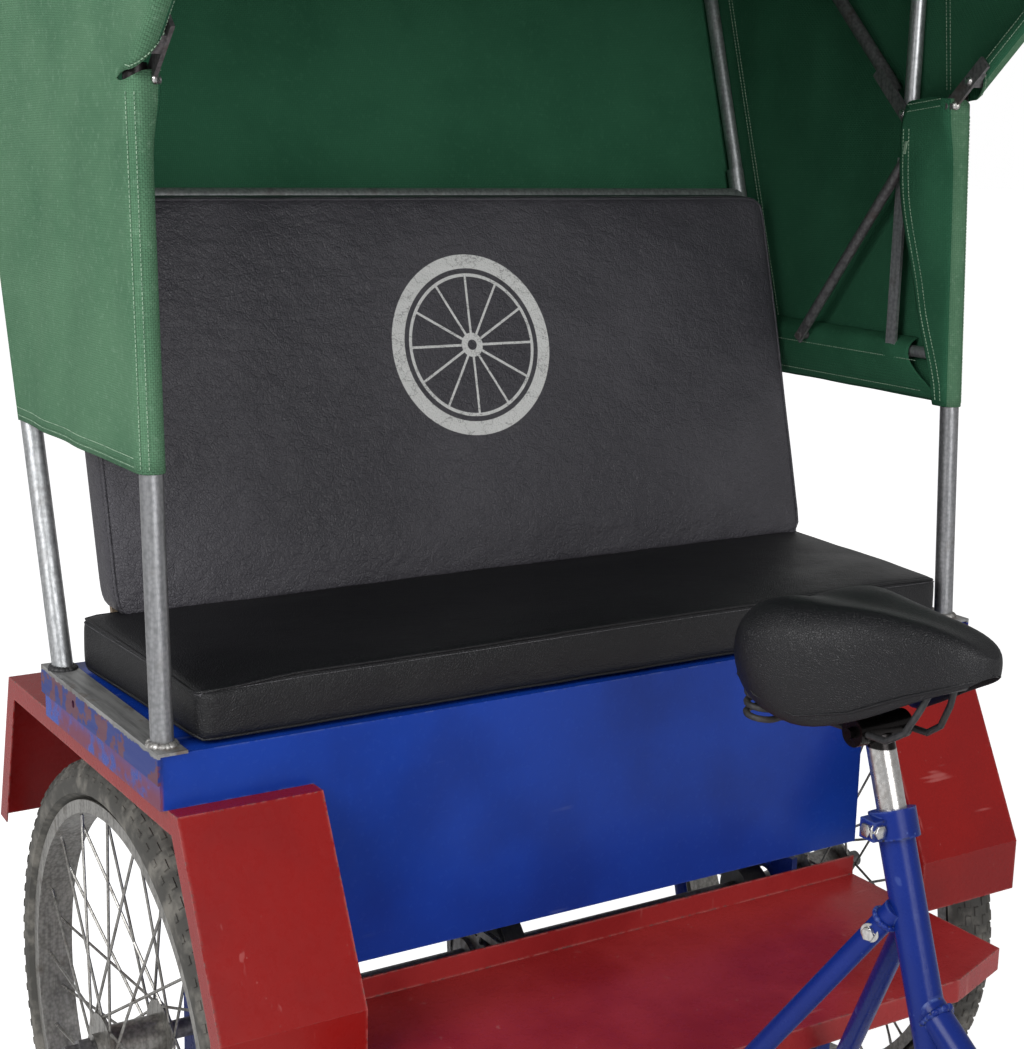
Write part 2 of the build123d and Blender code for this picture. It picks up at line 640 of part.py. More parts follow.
# Angle bars under the footboard on posts from the rails, and struts to the box
BAR_TOP = FLOOR_TOP - SHEET
BAR_HALF = PANEL_HALF - 55
FLOOR_BARS = [
    # y, post's x, post's foot
    (-40.0, 165.0, BRACKET_Z - 31),
    (-196.0, 128.0, BRACKET_Z - 25),
]
bars = []
for y, x, z in FLOOR_BARS:
    bar = block(-BAR_HALF, BAR_HALF, y - 14, y + 14, BAR_TOP - 3, BAR_TOP)
    bar += block(-BAR_HALF, BAR_HALF, y - 14, y - 11, BAR_TOP - 18, BAR_TOP)
    for side in (-1, 1):
        bar += block(side * x - 9, side * x + 9, y - 14, y + 4, z, BAR_TOP - 2)
    bars.append(bar - both(rail))
put("floor_bars", *bars)
strut_x = PANEL_HALF - 55
strut = rod((strut_x, BEAM_Y[1], BEAM_Z), (strut_x, BOX_DEPTH - SHEET - SEATED - 8, PANEL_Z + 40), 8)
strut -= beams
put("box_struts", strut, mirrored(strut))

# Brake: a band over the drum, its anchor plate on the front beam
band = disc(DRUM_X0 + 2, DRUM_X1 - 2, DRUM_RADIUS + 8, REAR_AXLE_Y, AXLE_Z)
band += block(DRUM_X0 + 8, DRUM_X0 + 16, BEAM_Y[0] - 6, REAR_AXLE_Y - 30, BEAM_Z + 8, AXLE_Z - 40)
band -= disc(DRUM_X0 - 4, DRUM_X1 + 4, DRUM_RADIUS + 5, REAR_AXLE_Y, AXLE_Z)
put("brake_band", band - beams)

# Crankset: toothed ring on five arms, and two tapered cranks half a turn apart
ARM_X0 = 64.0
ARM_X1 = 76.0
PEDAL_AXLE = 6.0
PEDAL_X0 = ARM_X1 + 7
PEDAL_X1 = PEDAL_X0 + 96
crankset = disc(-ARM_X1, ARM_X1, CRANK_AXLE, BRACKET_Y, BRACKET_Z)
ring = Pos(0, BRACKET_Y, BRACKET_Z) * toothed(RING_RADIUS, RING_TEETH, SPROCKET_THICK)
crankset += ring - disc(CHAIN_X - 5, CHAIN_X + 5, RING_RADIUS - 16, BRACKET_Y, BRACKET_Z)
for n in range(5):
    a = radians(90 + 72 * n)
    tip = (CHAIN_X, BRACKET_Y + (RING_RADIUS - 10) * cos(a), BRACKET_Z + (RING_RADIUS - 10) * sin(a))
    crankset += rod((CHAIN_X, BRACKET_Y, BRACKET_Z), tip, 3.5)
crankset += disc(CHAIN_X + 4, -ARM_X1, 18, BRACKET_Y, BRACKET_Z)
for side in (-1, 1):
    tip_y = BRACKET_Y + side * CRANK
    arm = [
        (BRACKET_Y, BRACKET_Z + 15),
        (tip_y, BRACKET_Z + 9),
        (tip_y, BRACKET_Z - 9),
        (BRACKET_Y, BRACKET_Z - 15),
    ]
    crankset += side_plate(arm, side * ARM_X0, side * ARM_X1)
    crankset += disc(side * ARM_X0, side * ARM_X1, 17, BRACKET_Y, BRACKET_Z)
    crankset += disc(side * ARM_X0, side * ARM_X1, 12, tip_y, BRACKET_Z)
    crankset += disc(side * (ARM_X0 + 2), side * (PEDAL_X1 + 4), PEDAL_AXLE, tip_y, BRACKET_Z)
put("crankset", crankset)


def pedal(side):
    """Rubber blocks between two end plates, turning on the crank's pin."""
    y = BRACKET_Y + side * CRANK
    shape = disc(side * PEDAL_X0, side * PEDAL_X1, 11, y, BRACKET_Z)
    for x in (PEDAL_X0, PEDAL_X1 - 3):
        shape += block(side * x, side * (x + 3), y - 42, y + 42, BRACKET_Z - 12, BRACKET_Z + 12)
    for row in (-1, 1):
        shape += block(side * PEDAL_X0, side * PEDAL_X1, y + row * 17, y + row * 40, BRACKET_Z - 13, BRACKET_Z + 13)
    return shape - disc(side * ARM_X0, side * (PEDAL_X1 + 20), PEDAL_AXLE + RUNNING, y, BRACKET_Z)


put("pedal_right", pedal(-1))
put("pedal_left", pedal(1))

# Chain: side plates round both sprockets, with rollers on the two straight runs
run_y = REAR_AXLE_Y - BRACKET_Y
run_z = AXLE_Z - BRACKET_Z
span = hypot(run_y, run_z)
pitch = atan2(run_z, run_y)
CHAIN_HALF = 4.2
PLATE_X0 = 1.8
PLATE_X1 = 3.2
ROLLER = 3.6
chain_plane = Plane(origin=bracket, x_dir=(0, cos(pitch), sin(pitch)), z_dir=(1, 0, 0))
wrap = atan2((span**2 - (RING_RADIUS - SPROCKET_RADIUS) ** 2) ** 0.5, RING_RADIUS - SPROCKET_RADIUS)


def belt(extra):
    """Outline round both sprockets, extra outside their pitch circles."""
    big, small = RING_RADIUS + extra, SPROCKET_RADIUS + extra
    top = [(big * cos(wrap), big * sin(wrap)), (span + small * cos(wrap), small * sin(wrap))]
    face = make_face(Polyline(*top, *[(u, -v) for u, v in reversed(top)], close=True))
    return face + RegularPolygon(big, RING_TEETH) + Pos(span, 0) * RegularPolygon(small, SPROCKET_TEETH)


loop = belt(CHAIN_HALF) - belt(-CHAIN_HALF)
chain = None
for side in (-1, 1):
    x0 = CHAIN_X + min(side * PLATE_X0, side * PLATE_X1)
    plates = Pos(x0, 0, 0) * extrude(chain_plane * loop, PLATE_X1 - PLATE_X0)
    chain = plates if chain is None else chain + plates
run = span * sin(wrap)
steps = int((run - 40) / (2 * CHAIN_PITCH))
rollers = []
for side in (-1, 1):
    for n in range(steps):
        s = 20 + (n + 0.5) * 2 * CHAIN_PITCH
        u = RING_RADIUS * cos(wrap) + s * sin(wrap)
        v = side * (RING_RADIUS * sin(wrap) - s * cos(wrap))
        pin = Pos(u, v, -PLATE_X0 - 0.5) * extrude(RegularPolygon(ROLLER, 6), 2 * PLATE_X0 + 1)
        rollers.append(Pos(CHAIN_X, 0, 0) * chain_plane.location * pin)
put("chain", chain.fuse(*rollers))

# Rider's seat: lofted saddle, its wire rails and springs, and the post
CLAMP_Z = BOX_TOP + 62
SADDLE_SECTIONS = [
    # y, half width, top, bottom above the box
    (-528.0, 13.0, 142.0, 122.0),
    (-505.0, 24.0, 156.0, 108.0),
    (-455.0, 34.0, 165.0, 96.0),
    (-400.0, 56.0, 172.0, 82.0),
    (-345.0, 94.0, 178.0, 76.0),
    (-300.0, 104.0, 182.0, 84.0),
    (-274.0, 84.0, 172.0, 104.0),
]
sections = []
for y, w, top, bottom in SADDLE_SECTIONS:
    plane = Plane(origin=(0, y, BOX_TOP + (top + bottom) / 2), x_dir=(1, 0, 0), z_dir=(0, -1, 0))
    sections.append(plane * RectangleRounded(2 * w, top - bottom, min(w, (top - bottom) / 2) * 0.72))
saddle = loft(sections)
put("saddle", saddle)

seat_post = rod(seat_axis(SEAT_TUBE_TOP - 110), seat_axis(CLAMP_Z - 6), SEAT_BORE)
clamp = seat_axis(CLAMP_Z)
seat_post += disc(-30, 30, 13, clamp[1], clamp[2])
seat_post += disc(-36, 36, 5, clamp[1], clamp[2])

springs = None
for side in (-1, 1):
    wire_points = [
        (side * 14, -500, CLAMP_Z + 36),
        (side * 24, clamp[1] - 40, CLAMP_Z),
        (side * 24, clamp[1] + 60, CLAMP_Z),
        (side * 62, clamp[1] + 96, CLAMP_Z),
    ]
    wire = bent(wire_points, 12, 3.5)
    wire += Pos(side * 70, clamp[1] + 100, CLAMP_Z - 4) * Cylinder(
        15, 26, align=(Align.CENTER, Align.CENTER, Align.MIN)
    )
    springs = wire if springs is None else springs + wire
springs += block(-22, 22, -510, -490, CLAMP_Z + 31, CLAMP_Z + 43)
springs -= saddle
put("saddle_springs", springs)
put("seat_post", seat_post - springs)

# Fork, handlebar and front mudguard
BLADE_X = 56.0
STEM = HEAD_HIGH + 148
steerer = rod(on_head(CROWN), on_head(HEAD_HIGH + 108), STEERER)
fork_parts = [
    rod(on_head(CROWN - 22), on_head(CROWN + 12), SHELL_RADIUS),
    rod(on_head(HEAD_HIGH + SEATED), on_head(HEAD_HIGH + 22), HEAD_RADIUS),
    rod(on_head(HEAD_LOW - 14), on_head(HEAD_LOW - SEATED), HEAD_RADIUS),
    rod(on_head(CROWN - 8, -BLADE_X), on_head(CROWN - 8, BLADE_X), 12),
    disc(-BLADE_X - 18, BLADE_X + 18, FRONT_AXLE_RADIUS, FRONT_AXLE_Y, AXLE_Z),
]
for side in (-1, 1):
    x = side * BLADE_X
    blade_end = (x, FRONT_AXLE_Y, AXLE_Z)
    fork_parts.append(bent([on_head(CROWN - 8, x), on_head(110, x), blade_end], 120, 10))
    fork_parts.append(disc(x - 4, x + 4, 17, FRONT_AXLE_Y, AXLE_Z))
    fork_parts.append(hex_nut(x + side * 4, x + side * 12, 9, FRONT_AXLE_Y, AXLE_Z))
put("fork", steerer.fuse(*fork_parts))

BAR_RADIUS = 11.0
GRIP_LENGTH = 110.0
bar_y, bar_z = on_head(STEM, 0, 32)[1:]
bar_half = [
    (120, bar_y, bar_z),
    (215, bar_y + 2, bar_z + 24),
    (285, bar_y + 128, bar_z + 10),
]
bar_points = [(-x, y, z) for x, y, z in reversed(bar_half)] + bar_half
handlebar = bent(bar_points, 40, BAR_RADIUS)
stem_base = rod(on_head(HEAD_HIGH + 22 + SEATED), on_head(STEM + 14), STEERER + 2)
stem_base -= rod(on_head(HEAD_LOW), on_head(HEAD_HIGH + 108), STEERER)
handlebar += stem_base
handlebar += rod(on_head(STEM), (0, bar_y, bar_z), 13)
handlebar += disc(-24, 24, 16, bar_y, bar_z)
put("handlebar", handlebar)

grips = []
for side in (-1, 1):
    end = Vector(side * bar_half[2][0], bar_half[2][1], bar_half[2][2])
    turn = Vector(side * bar_half[1][0], bar_half[1][1], bar_half[1][2])
    back = (turn - end).normalized()
    grip = rod(tuple(end - back * 5), tuple(end + back * GRIP_LENGTH), 16)
    grips.append(grip - rod(tuple(end), tuple(end + back * (GRIP_LENGTH + 12)), BAR_RADIUS))
put("grips", *grips)

GUARD_HALF = 33.0
GUARD_LIP = 14.0
GUARD = hypot(CROWN - 22, FORK_OFFSET - SHELL_RADIUS) - SEATED
guard_side = [
    (GUARD_HALF, GUARD),
    (GUARD_HALF, GUARD - GUARD_LIP),
    (GUARD_HALF - SHEET, GUARD - GUARD_LIP),
    (GUARD_HALF - SHEET, GUARD - SHEET),
]
guard = Rot(20, 0, 0) * about_x(doubled(guard_side), 150)
EYE_X0 = HUB_END + 0.5
for side in (-1, 1):
    guard += disc(side * EYE_X0, side * (EYE_X0 + 3), 11, 0, 0)
    for turn in (28, 100):
        a = radians(turn)
        start = (side * (EYE_X0 + 1.5), 8 * cos(a), 8 * sin(a))
        end = (side * (GUARD_HALF - 1), (GUARD - 6) * cos(a), (GUARD - 6) * sin(a))
        guard += rod(start, end, 1.5)
guard -= disc(-BLADE_X, BLADE_X, FRONT_AXLE_RADIUS + SEATED, 0, 0)
put("front_mudguard", front_hub * guard)

spans = [piece.bounding_box() for piece in pieces.values()]
shift = -(min(span.min.Y for span in spans) + max(span.max.Y for span in spans)) / 2
for name, piece in pieces.items():
    export_step(Pos(0, shift, 0) * piece, f"parts/{name}.step")
print("shift", round(shift, 3))
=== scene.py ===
# %% [markdown]
# # A hooded cycle rickshaw
# This is a three-wheeled cycle with a bench for two behind the rider. Its seat box is folded steel
# in blue enamel, its mudguards and footboard are red, and a canvas hood hangs on bows of tube.
# The steel parts come from a solid model and are loaded as a fixed frame. This lesson dresses that
# frame: it gives every part a finish, and makes the cloth, the padding, the tyres and the small
# fastenings that solids can't show.

# %% Load the frame
import math

import bpy
from mathutils import Matrix, Vector, noise


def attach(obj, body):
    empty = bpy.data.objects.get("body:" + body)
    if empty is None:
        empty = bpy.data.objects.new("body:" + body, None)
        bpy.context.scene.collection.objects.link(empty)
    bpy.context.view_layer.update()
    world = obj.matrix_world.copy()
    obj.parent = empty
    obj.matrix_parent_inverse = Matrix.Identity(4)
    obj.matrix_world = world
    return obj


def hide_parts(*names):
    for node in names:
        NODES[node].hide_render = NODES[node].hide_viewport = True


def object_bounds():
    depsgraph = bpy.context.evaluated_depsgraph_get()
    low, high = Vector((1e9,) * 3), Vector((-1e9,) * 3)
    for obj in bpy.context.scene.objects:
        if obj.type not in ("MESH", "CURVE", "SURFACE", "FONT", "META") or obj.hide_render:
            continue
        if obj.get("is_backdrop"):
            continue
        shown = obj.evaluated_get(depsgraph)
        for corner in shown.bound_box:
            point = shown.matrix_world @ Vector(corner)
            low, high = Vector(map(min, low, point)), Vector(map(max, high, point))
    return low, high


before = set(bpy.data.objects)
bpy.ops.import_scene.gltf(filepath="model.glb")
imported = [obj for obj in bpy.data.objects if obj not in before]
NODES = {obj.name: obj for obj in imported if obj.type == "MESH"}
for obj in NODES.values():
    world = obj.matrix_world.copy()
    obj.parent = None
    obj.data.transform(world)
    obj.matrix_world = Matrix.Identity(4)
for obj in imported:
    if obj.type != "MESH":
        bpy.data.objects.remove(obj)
CAD_BOX = [list(corner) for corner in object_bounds()]
print("frame box", CAD_BOX)

# %% [markdown]
# Lengths are easier to think about in millimetres from the seat box's front panel, which is how a
# tape would be held on the real rickshaw. One helper turns such a place into the scene's metres,
# where the vehicle's length is centred on the origin.

# %% Measuring from the seat box
SHIFT_Y = 0.462923
BOX_TOP = 681.0


def spot(x, y, z):
    """A place given in millimetres from the seat box's front panel."""
    return Vector((x / 1000, y / 1000 + SHIFT_Y, z / 1000))


# %% [markdown]
# The camera stands in front and to the right of the vehicle, a little above the hood's hem, with a
# fairly long lens so that straight tubes stay straight. It leans by a degree and a half, as a
# hand-held one does.

# %% Camera
SENSOR = 36
PICTURE_HEIGHT = 1049
FOCAL_PIXELS = 1853.96
CAMERA_X, CAMERA_Y, CAMERA_ABOVE_BOX = -1.10459, -1.51843, 0.57263
CAMERA_ANGLES = (-32.523, 12.292, 1.378)
camera_data = bpy.data.cameras.new("camera")
camera = bpy.data.objects.new("camera", camera_data)
bpy.context.scene.collection.objects.link(camera)
bpy.context.scene.camera = camera
camera_data.lens = FOCAL_PIXELS * SENSOR / PICTURE_HEIGHT
camera_data.sensor_width = SENSOR
camera.location = (CAMERA_X, CAMERA_Y + SHIFT_Y, CAMERA_ABOVE_BOX + BOX_TOP / 1000)
azimuth, elevation, roll = map(math.radians, CAMERA_ANGLES)
level = math.cos(elevation)
back = Vector((math.sin(azimuth) * level, -math.cos(azimuth) * level, math.sin(elevation)))
turn = back.to_track_quat("Z", "Y").to_matrix() @ Matrix.Rotation(roll, 3, "Z")
camera.rotation_euler = turn.to_euler()
print("lens", round(camera_data.lens, 1), "mm, camera at", [round(n, 3) for n in camera.location])

# %% [markdown]
# The floor and the world are plain and pale. Light comes mostly from large soft lamps, the stronger
# one on the side the camera looks from, so that the hood's outer cloth is bright and its inside
# falls into shade.
# The world is white to the camera, but dimmer as a light and to gloss, so a pale background costs
# no extra light on the vehicle.

# %% Floor and light
FLOOR_LIFT = 0.66
FLOOR_SIZE = 60
floor_mat = bpy.data.materials.new("floor")
floor_mat.use_nodes = True
floor_shader = floor_mat.node_tree.nodes["Principled BSDF"]
floor_shader.inputs["Base Color"].default_value = (0.9, 0.9, 0.9, 1)
floor_shader.inputs["Roughness"].default_value = 0.9
floor_shader.inputs["Emission Color"].default_value = (1, 1, 1, 1)
floor_path = floor_mat.node_tree.nodes.new("ShaderNodeLightPath")
lift = floor_mat.node_tree.nodes.new("ShaderNodeMath")
lift.operation = "MULTIPLY"
lift.inputs[1].default_value = FLOOR_LIFT
floor_mat.node_tree.links.new(floor_path.outputs["Is Camera Ray"], lift.inputs[0])
floor_mat.node_tree.links.new(lift.outputs[0], floor_shader.inputs["Emission Strength"])
bpy.ops.mesh.primitive_plane_add(size=FLOOR_SIZE, location=(0, 0, 0))
floor = bpy.context.object
floor.name = "floor"
floor.data.materials.append(floor_mat)
floor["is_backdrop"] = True

WORLD_LIGHT = 0.42
world = bpy.data.worlds.new("studio")
bpy.context.scene.world = world
world.use_nodes = True
sky = world.node_tree
background = sky.nodes["Background"]
background.inputs["Color"].default_value = (1, 1, 1, 1)
path = sky.nodes.new("ShaderNodeLightPath")
strength = sky.nodes.new("ShaderNodeMix")
strength.inputs[2].default_value = WORLD_LIGHT
strength.inputs[3].default_value = 1.0
sky.links.new(path.outputs["Is Camera Ray"], strength.inputs[0])
sky.links.new(strength.outputs[0], background.inputs["Strength"])
bpy.context.scene.view_settings.view_transform = "Standard"


def area_light(name, place, aim, size, power):
    data = bpy.data.lights.new(name, "AREA")
    data.size = size
    data.energy = power
    lamp = bpy.data.objects.new(name, data)
    lamp.location = place
    lamp.rotation_euler = (Vector(place) - Vector(aim)).to_track_quat("Z", "Y").to_euler()
    bpy.context.scene.collection.objects.link(lamp)
    print(name, "lamp,", power, "W over", size, "m")


area_light("key", (-3.9, -0.7, 3.2), (0, 0.4, 0.9), 2.6, 165)
area_light("fill", (-0.5, -4.8, 2.2), (0, 0.3, 0.9), 2.8, 125)

# %% [markdown]
# A finish is a small network of nodes. It reads more easily when a socket behaves like a number, so
# a thin wrapper turns each sum or product into its Math node, and one method makes every other node
# from its type, its settings and what goes into its sockets.

# %% Sockets as numbers


class Wire:
    """A socket of one finish, which adds Math nodes as it is calculated with."""

    def __init__(self, finish, socket):
        self.finish = finish
        self.socket = socket

    def maths(self, operation, first, second=0.0):
        return self.finish.node("ShaderNodeMath", {"operation": operation}, {0: first, 1: second})

    def __add__(self, other):
        return self.maths("ADD", self, other)

    def __sub__(self, other):
        return self.maths("SUBTRACT", self, other)

    def __rsub__(self, other):
        return self.maths("SUBTRACT", other, self)

    def __mul__(self, other):
        return self.maths("MULTIPLY", self, other)

    def __abs__(self):
        return self.maths("ABSOLUTE", self)

    def floor(self):
        return self.maths("FLOOR", self)

    def wave(self):
        return self.maths("SINE", self)

    def root(self):
        return self.maths("SQRT", self)

    def lower(self, other):
        return self.maths("MINIMUM", self, other)

    def higher(self, other):
        return self.maths("MAXIMUM", self, other)

    __radd__ = __add__
    __rmul__ = __mul__


class Finish:
    """A material on the Principled shader, with its constants set on the shader itself."""

    def __init__(self, name, **constants):
        self.material = bpy.data.materials.new(name)
        self.material.use_nodes = True
        self.tree = self.material.node_tree
        self.shader = self.tree.nodes["Principled BSDF"]
        for socket, value in constants.items():
            self.shader.inputs[socket.replace("_", " ")].default_value = value
        self.place = self.node("ShaderNodeTexCoord", output="Object")
        self.cloth_place = self.node("ShaderNodeTexCoord", output="UV")

    def node(self, kind, settings=None, inputs=None, output=0):
        made = self.tree.nodes.new(kind)
        for key, value in (settings or {}).items():
            setattr(made, key, value)
        for key, value in (inputs or {}).items():
            if isinstance(value, Wire):
                self.tree.links.new(value.socket, made.inputs[key])
            else:
                made.inputs[key].default_value = value
        return Wire(self, made.outputs[output])

    def axes(self, where=None):
        split = self.node("ShaderNodeSeparateXYZ", {}, {0: where or self.place})
        sockets = split.socket.node.outputs
        return [Wire(self, sockets[n]) for n in range(3)]

    def stretched(self, by, where=None):
        return self.node("ShaderNodeMapping", {}, {"Vector": where or self.place, "Scale": by})

    def grain(self, size, detail=3.0, roughness=0.55, where=None):
        """Noise from 0 to 1 whose blotches are about this many millimetres across."""
        inputs = {"Vector": where or self.place, "Scale": 1000 / size, "Detail": detail, "Roughness": roughness}
        return self.node("ShaderNodeTexNoise", {}, inputs)

    def cells(self, size, feature="F1", where=None):
        inputs = {"Vector": where or self.place, "Scale": 1000 / size}
        return self.node("ShaderNodeTexVoronoi", {"feature": feature}, inputs)

    def step(self, value, low, high):
        inputs = {"Value": value, "From Min": low, "From Max": high}
        return self.node("ShaderNodeMapRange", {"interpolation_type": "SMOOTHSTEP"}, inputs)

    def mix(self, factor, first, second):
        return self.node("ShaderNodeMix", {"data_type": "RGBA"}, {0: factor, 6: first, 7: second}, 2)

    def edges(self, width):
        """1 within this many millimetres of a sharp edge, 0 on the flat."""
        soft = self.node("ShaderNodeBevel", {"samples": 4}, {"Radius": width / 1000})
        hard = self.node("ShaderNodeNewGeometry", output="Normal")
        dot = self.node("ShaderNodeVectorMath", {"operation": "DOT_PRODUCT"}, {0: soft, 1: hard}, 1)
        return self.step(dot, 0.998, 0.93)

    def bump(self, height, depth, under=None):
        inputs = {"Height": height, "Distance": depth / 1000, "Strength": 1.0}
        if under:
            inputs["Normal"] = under
        return self.node("ShaderNodeBump", {}, inputs)

    def wear(self, **sockets):
        """What changes over the surface: the colour, roughness, metal and normal sockets."""
        for name, wire in sockets.items():
            self.tree.links.new(wire.socket, self.shader.inputs[name.replace("_", " ")])
        return self.material


# %% [markdown]
# Brushed enamel is never quite even: it runs thin on folded edges and picks up pale scuffs where
# feet and luggage pass. The chips follow sharp edges, so a bevel-shaded normal is compared with the
# true one to find them, and noise breaks the line up.

# %% Enamel


def enamel(name, colour, deep, scuff, bare, wear):
    """Gloss paint over steel. wear is how far the edges are gone, from 0 to 1."""
    f = Finish(name, Specular_IOR_Level=0.2)
    blotch = f.grain(140, 3.0)
    fine = f.grain(9, 4.0, 0.6)
    scratches = f.step(f.grain(14, 2.0, 0.5, f.stretched((0.12, 1.0, 1.0))), 0.69, 0.74)
    scratches = scratches + f.step(f.grain(11, 2.0, 0.5, f.stretched((1.0, 0.7, 0.1))), 0.7, 0.74)
    specks = f.step(f.cells(13), 0.085, 0.05) * f.step(f.grain(60), 0.5, 0.62)
    edge = f.edges(3.5)
    rubbed = f.step(edge * f.grain(16, 4.0, 0.7), 0.5 - 0.14 * wear, 0.62 - 0.14 * wear)
    chips = f.step(edge * f.grain(7, 3.0, 0.6), 0.6 - 0.06 * wear, 0.64 - 0.06 * wear)
    paint = f.mix(f.step(blotch, 0.35, 0.68), colour, deep)
    marks = (scratches * f.step(f.grain(90), 0.5, 0.66) * 0.42 + specks * 0.5 + rubbed * 0.5).lower(0.85)
    paint = f.mix(marks, paint, scuff)
    paint = f.mix(chips, paint, bare)
    roughness = 0.2 + fine * 0.16 + marks * 0.25 + chips * 0.2
    waves = f.bump(f.grain(26, 2.0), 0.22)
    return f.wear(
        Base_Color=paint,
        Roughness=roughness,
        Normal=f.bump(fine + chips * -2.0 + scratches * -0.4, 0.06, waves),
    )


BARE_IRON = (0.03, 0.03, 0.035, 1)
BARE_BROWN = (0.16, 0.10, 0.09, 1)
blue = enamel(
    "blue enamel", (0.006, 0.021, 0.175, 1), (0.005, 0.017, 0.14, 1), (0.10, 0.15, 0.36, 1), BARE_IRON, 0.45
)
red = enamel(
    "red enamel", (0.235, 0.007, 0.006, 1), (0.2, 0.007, 0.007, 1), (0.46, 0.15, 0.14, 1), BARE_BROWN, 0.7
)
# The footboard's red is lighter than the mudguards' as painted light on its top, which lies in shade between the
# box panel and the tube; its heavier edge wear is real.
footboard_red_painted_light = enamel(
    "red enamel underfoot with painted light", (0.34, 0.028, 0.028, 1), (0.25, 0.015, 0.016, 1), (0.5, 0.2, 0.18, 1), BARE_BROWN, 0.9
)

# %% [markdown]
# The seat box was painted over a red-brown primer, and beside the post feet that primer shows in
# ragged patches, along with soot from the welding. Only the box's two side bands have it, so the
# patches are held there by their distance from the middle.

# %% Seat box enamel with primer showing


def box_enamel():
    f = Finish("seat box enamel", Specular_IOR_Level=0.22)
    x, y, z = f.axes()
    blotch = f.grain(160, 3.0)
    fine = f.grain(8, 4.0, 0.6)
    paint = f.mix(f.step(blotch, 0.35, 0.68), (0.006, 0.04, 0.3, 1), (0.005, 0.03, 0.23, 1))
    side = f.step(abs(x), 0.506, 0.509)
    low = f.step(z, 0.668, 0.636)
    primer = side * low * f.step(f.grain(52, 5.0, 0.65), 0.42, 0.52)
    edge = f.edges(3.0)
    rubbed = f.step(edge * f.grain(14, 4.0, 0.7), 0.46, 0.58)
    scratches = f.step(f.grain(15, 2.0, 0.5, f.stretched((0.12, 1.0, 1.0))), 0.69, 0.74)
    scratches = scratches * f.step(f.grain(80), 0.5, 0.66)
    soot = f.step(z, 0.66, 0.681) * side * f.step(f.grain(34, 4.0), 0.5, 0.62)
    paint = f.mix(primer * 0.85, paint, (0.17, 0.035, 0.03, 1))
    paint = f.mix((rubbed * 0.45 + scratches * 0.35).lower(0.8), paint, (0.11, 0.15, 0.34, 1))
    paint = f.mix(soot * 0.6, paint, (0.02, 0.018, 0.017, 1))
    roughness = 0.19 + fine * 0.14 + (primer + rubbed + scratches) * 0.22
    waves = f.bump(f.grain(60, 2.0), 0.5)
    return f.wear(Base_Color=paint, Roughness=roughness, Normal=f.bump(fine - primer * 0.8, 0.05, waves))


box_blue = box_enamel()

# %% [markdown]
# Galvanised tube is grey rather than shiny. The zinc freezes into soft patches, and drawing and
# handling leave streaks along the tube. The darker steel of the hood's inner bows has lost its zinc
# and has a thin brown film.

# %% Bare metals


def tube_metal(name, light, dark, stain, metal, rough, ring=0.0, black_above=None):
    f = Finish(name, Metallic=metal)
    patches = f.cells(4, "F1")
    streaks = f.grain(5, 3.0, 0.6, f.stretched((1.0, 1.0, 0.06)))
    blotch = f.grain(38, 4.0, 0.6)
    colour = f.mix(f.step(patches * 0.45 + streaks, 0.45, 1.05), light, dark)
    colour = f.mix(f.step(blotch, 0.56, 0.72) * 0.65, colour, stain)
    if black_above:
        dark_end = f.step(f.axes()[2], black_above - 0.0006, black_above + 0.0006)
        colour = f.mix(dark_end, colour, (0.02, 0.018, 0.018, 1))
    roughness = rough + streaks * 0.18 + f.step(blotch, 0.5, 0.7) * 0.14
    height = streaks * 0.5 + patches * 0.25
    if ring:
        height = height + (f.axes()[2] * ring).wave() * 0.5
    return f.wear(Base_Color=colour, Roughness=roughness, Normal=f.bump(height, 0.05))


RINGS = 900.0
STAIN = (0.17, 0.16, 0.15, 1)
GREASE = (0.24, 0.21, 0.18, 1)
galvanised = tube_metal("galvanised tube", (0.50, 0.51, 0.52, 1), (0.30, 0.31, 0.32, 1), STAIN, 0.82, 0.3)
# On the front posts the colour turns nearly black above 1.262 m, as painted shade inside the visor's sleeve.
post_metal = tube_metal(
    "front post tube", (0.32, 0.323, 0.335, 1), (0.2, 0.203, 0.21, 1), STAIN, 0.82, 0.26, black_above=1.262
)
dark_steel = tube_metal(
    "dark tube", (0.19, 0.185, 0.19, 1), (0.09, 0.088, 0.09, 1), (0.08, 0.055, 0.045, 1), 0.7, 0.36
)
saddle_post = tube_metal(
    "saddle post", (0.62, 0.61, 0.60, 1), (0.46, 0.44, 0.42, 1), GREASE, 0.95, 0.16, RINGS, black_above=0.728
)
bright_steel = tube_metal("plated steel", (0.62, 0.61, 0.60, 1), (0.42, 0.41, 0.40, 1), GREASE, 0.95, 0.16, RINGS)
wheel_steel = tube_metal(
    "wheel steel", (0.34, 0.33, 0.31, 1), (0.17, 0.165, 0.155, 1), (0.09, 0.07, 0.055, 1), 0.85, 0.26
)
black_iron = tube_metal(
    "black iron", (0.035, 0.035, 0.037, 1), (0.018, 0.018, 0.019, 1), (0.045, 0.036, 0.03, 1), 0.25, 0.42
)
bead_metal = tube_metal("weld metal", (0.55, 0.54, 0.52, 1), (0.22, 0.21, 0.2, 1), (0.1, 0.075, 0.06, 1), 0.8, 0.34)

# %% [markdown]
# The angle irons under the posts are the same grey steel, but the box's blue was brushed up to them
# by hand, so a ragged edge of paint laps over their outer leg, and the heat of the welds left brown
# rings.

# %% Angle iron


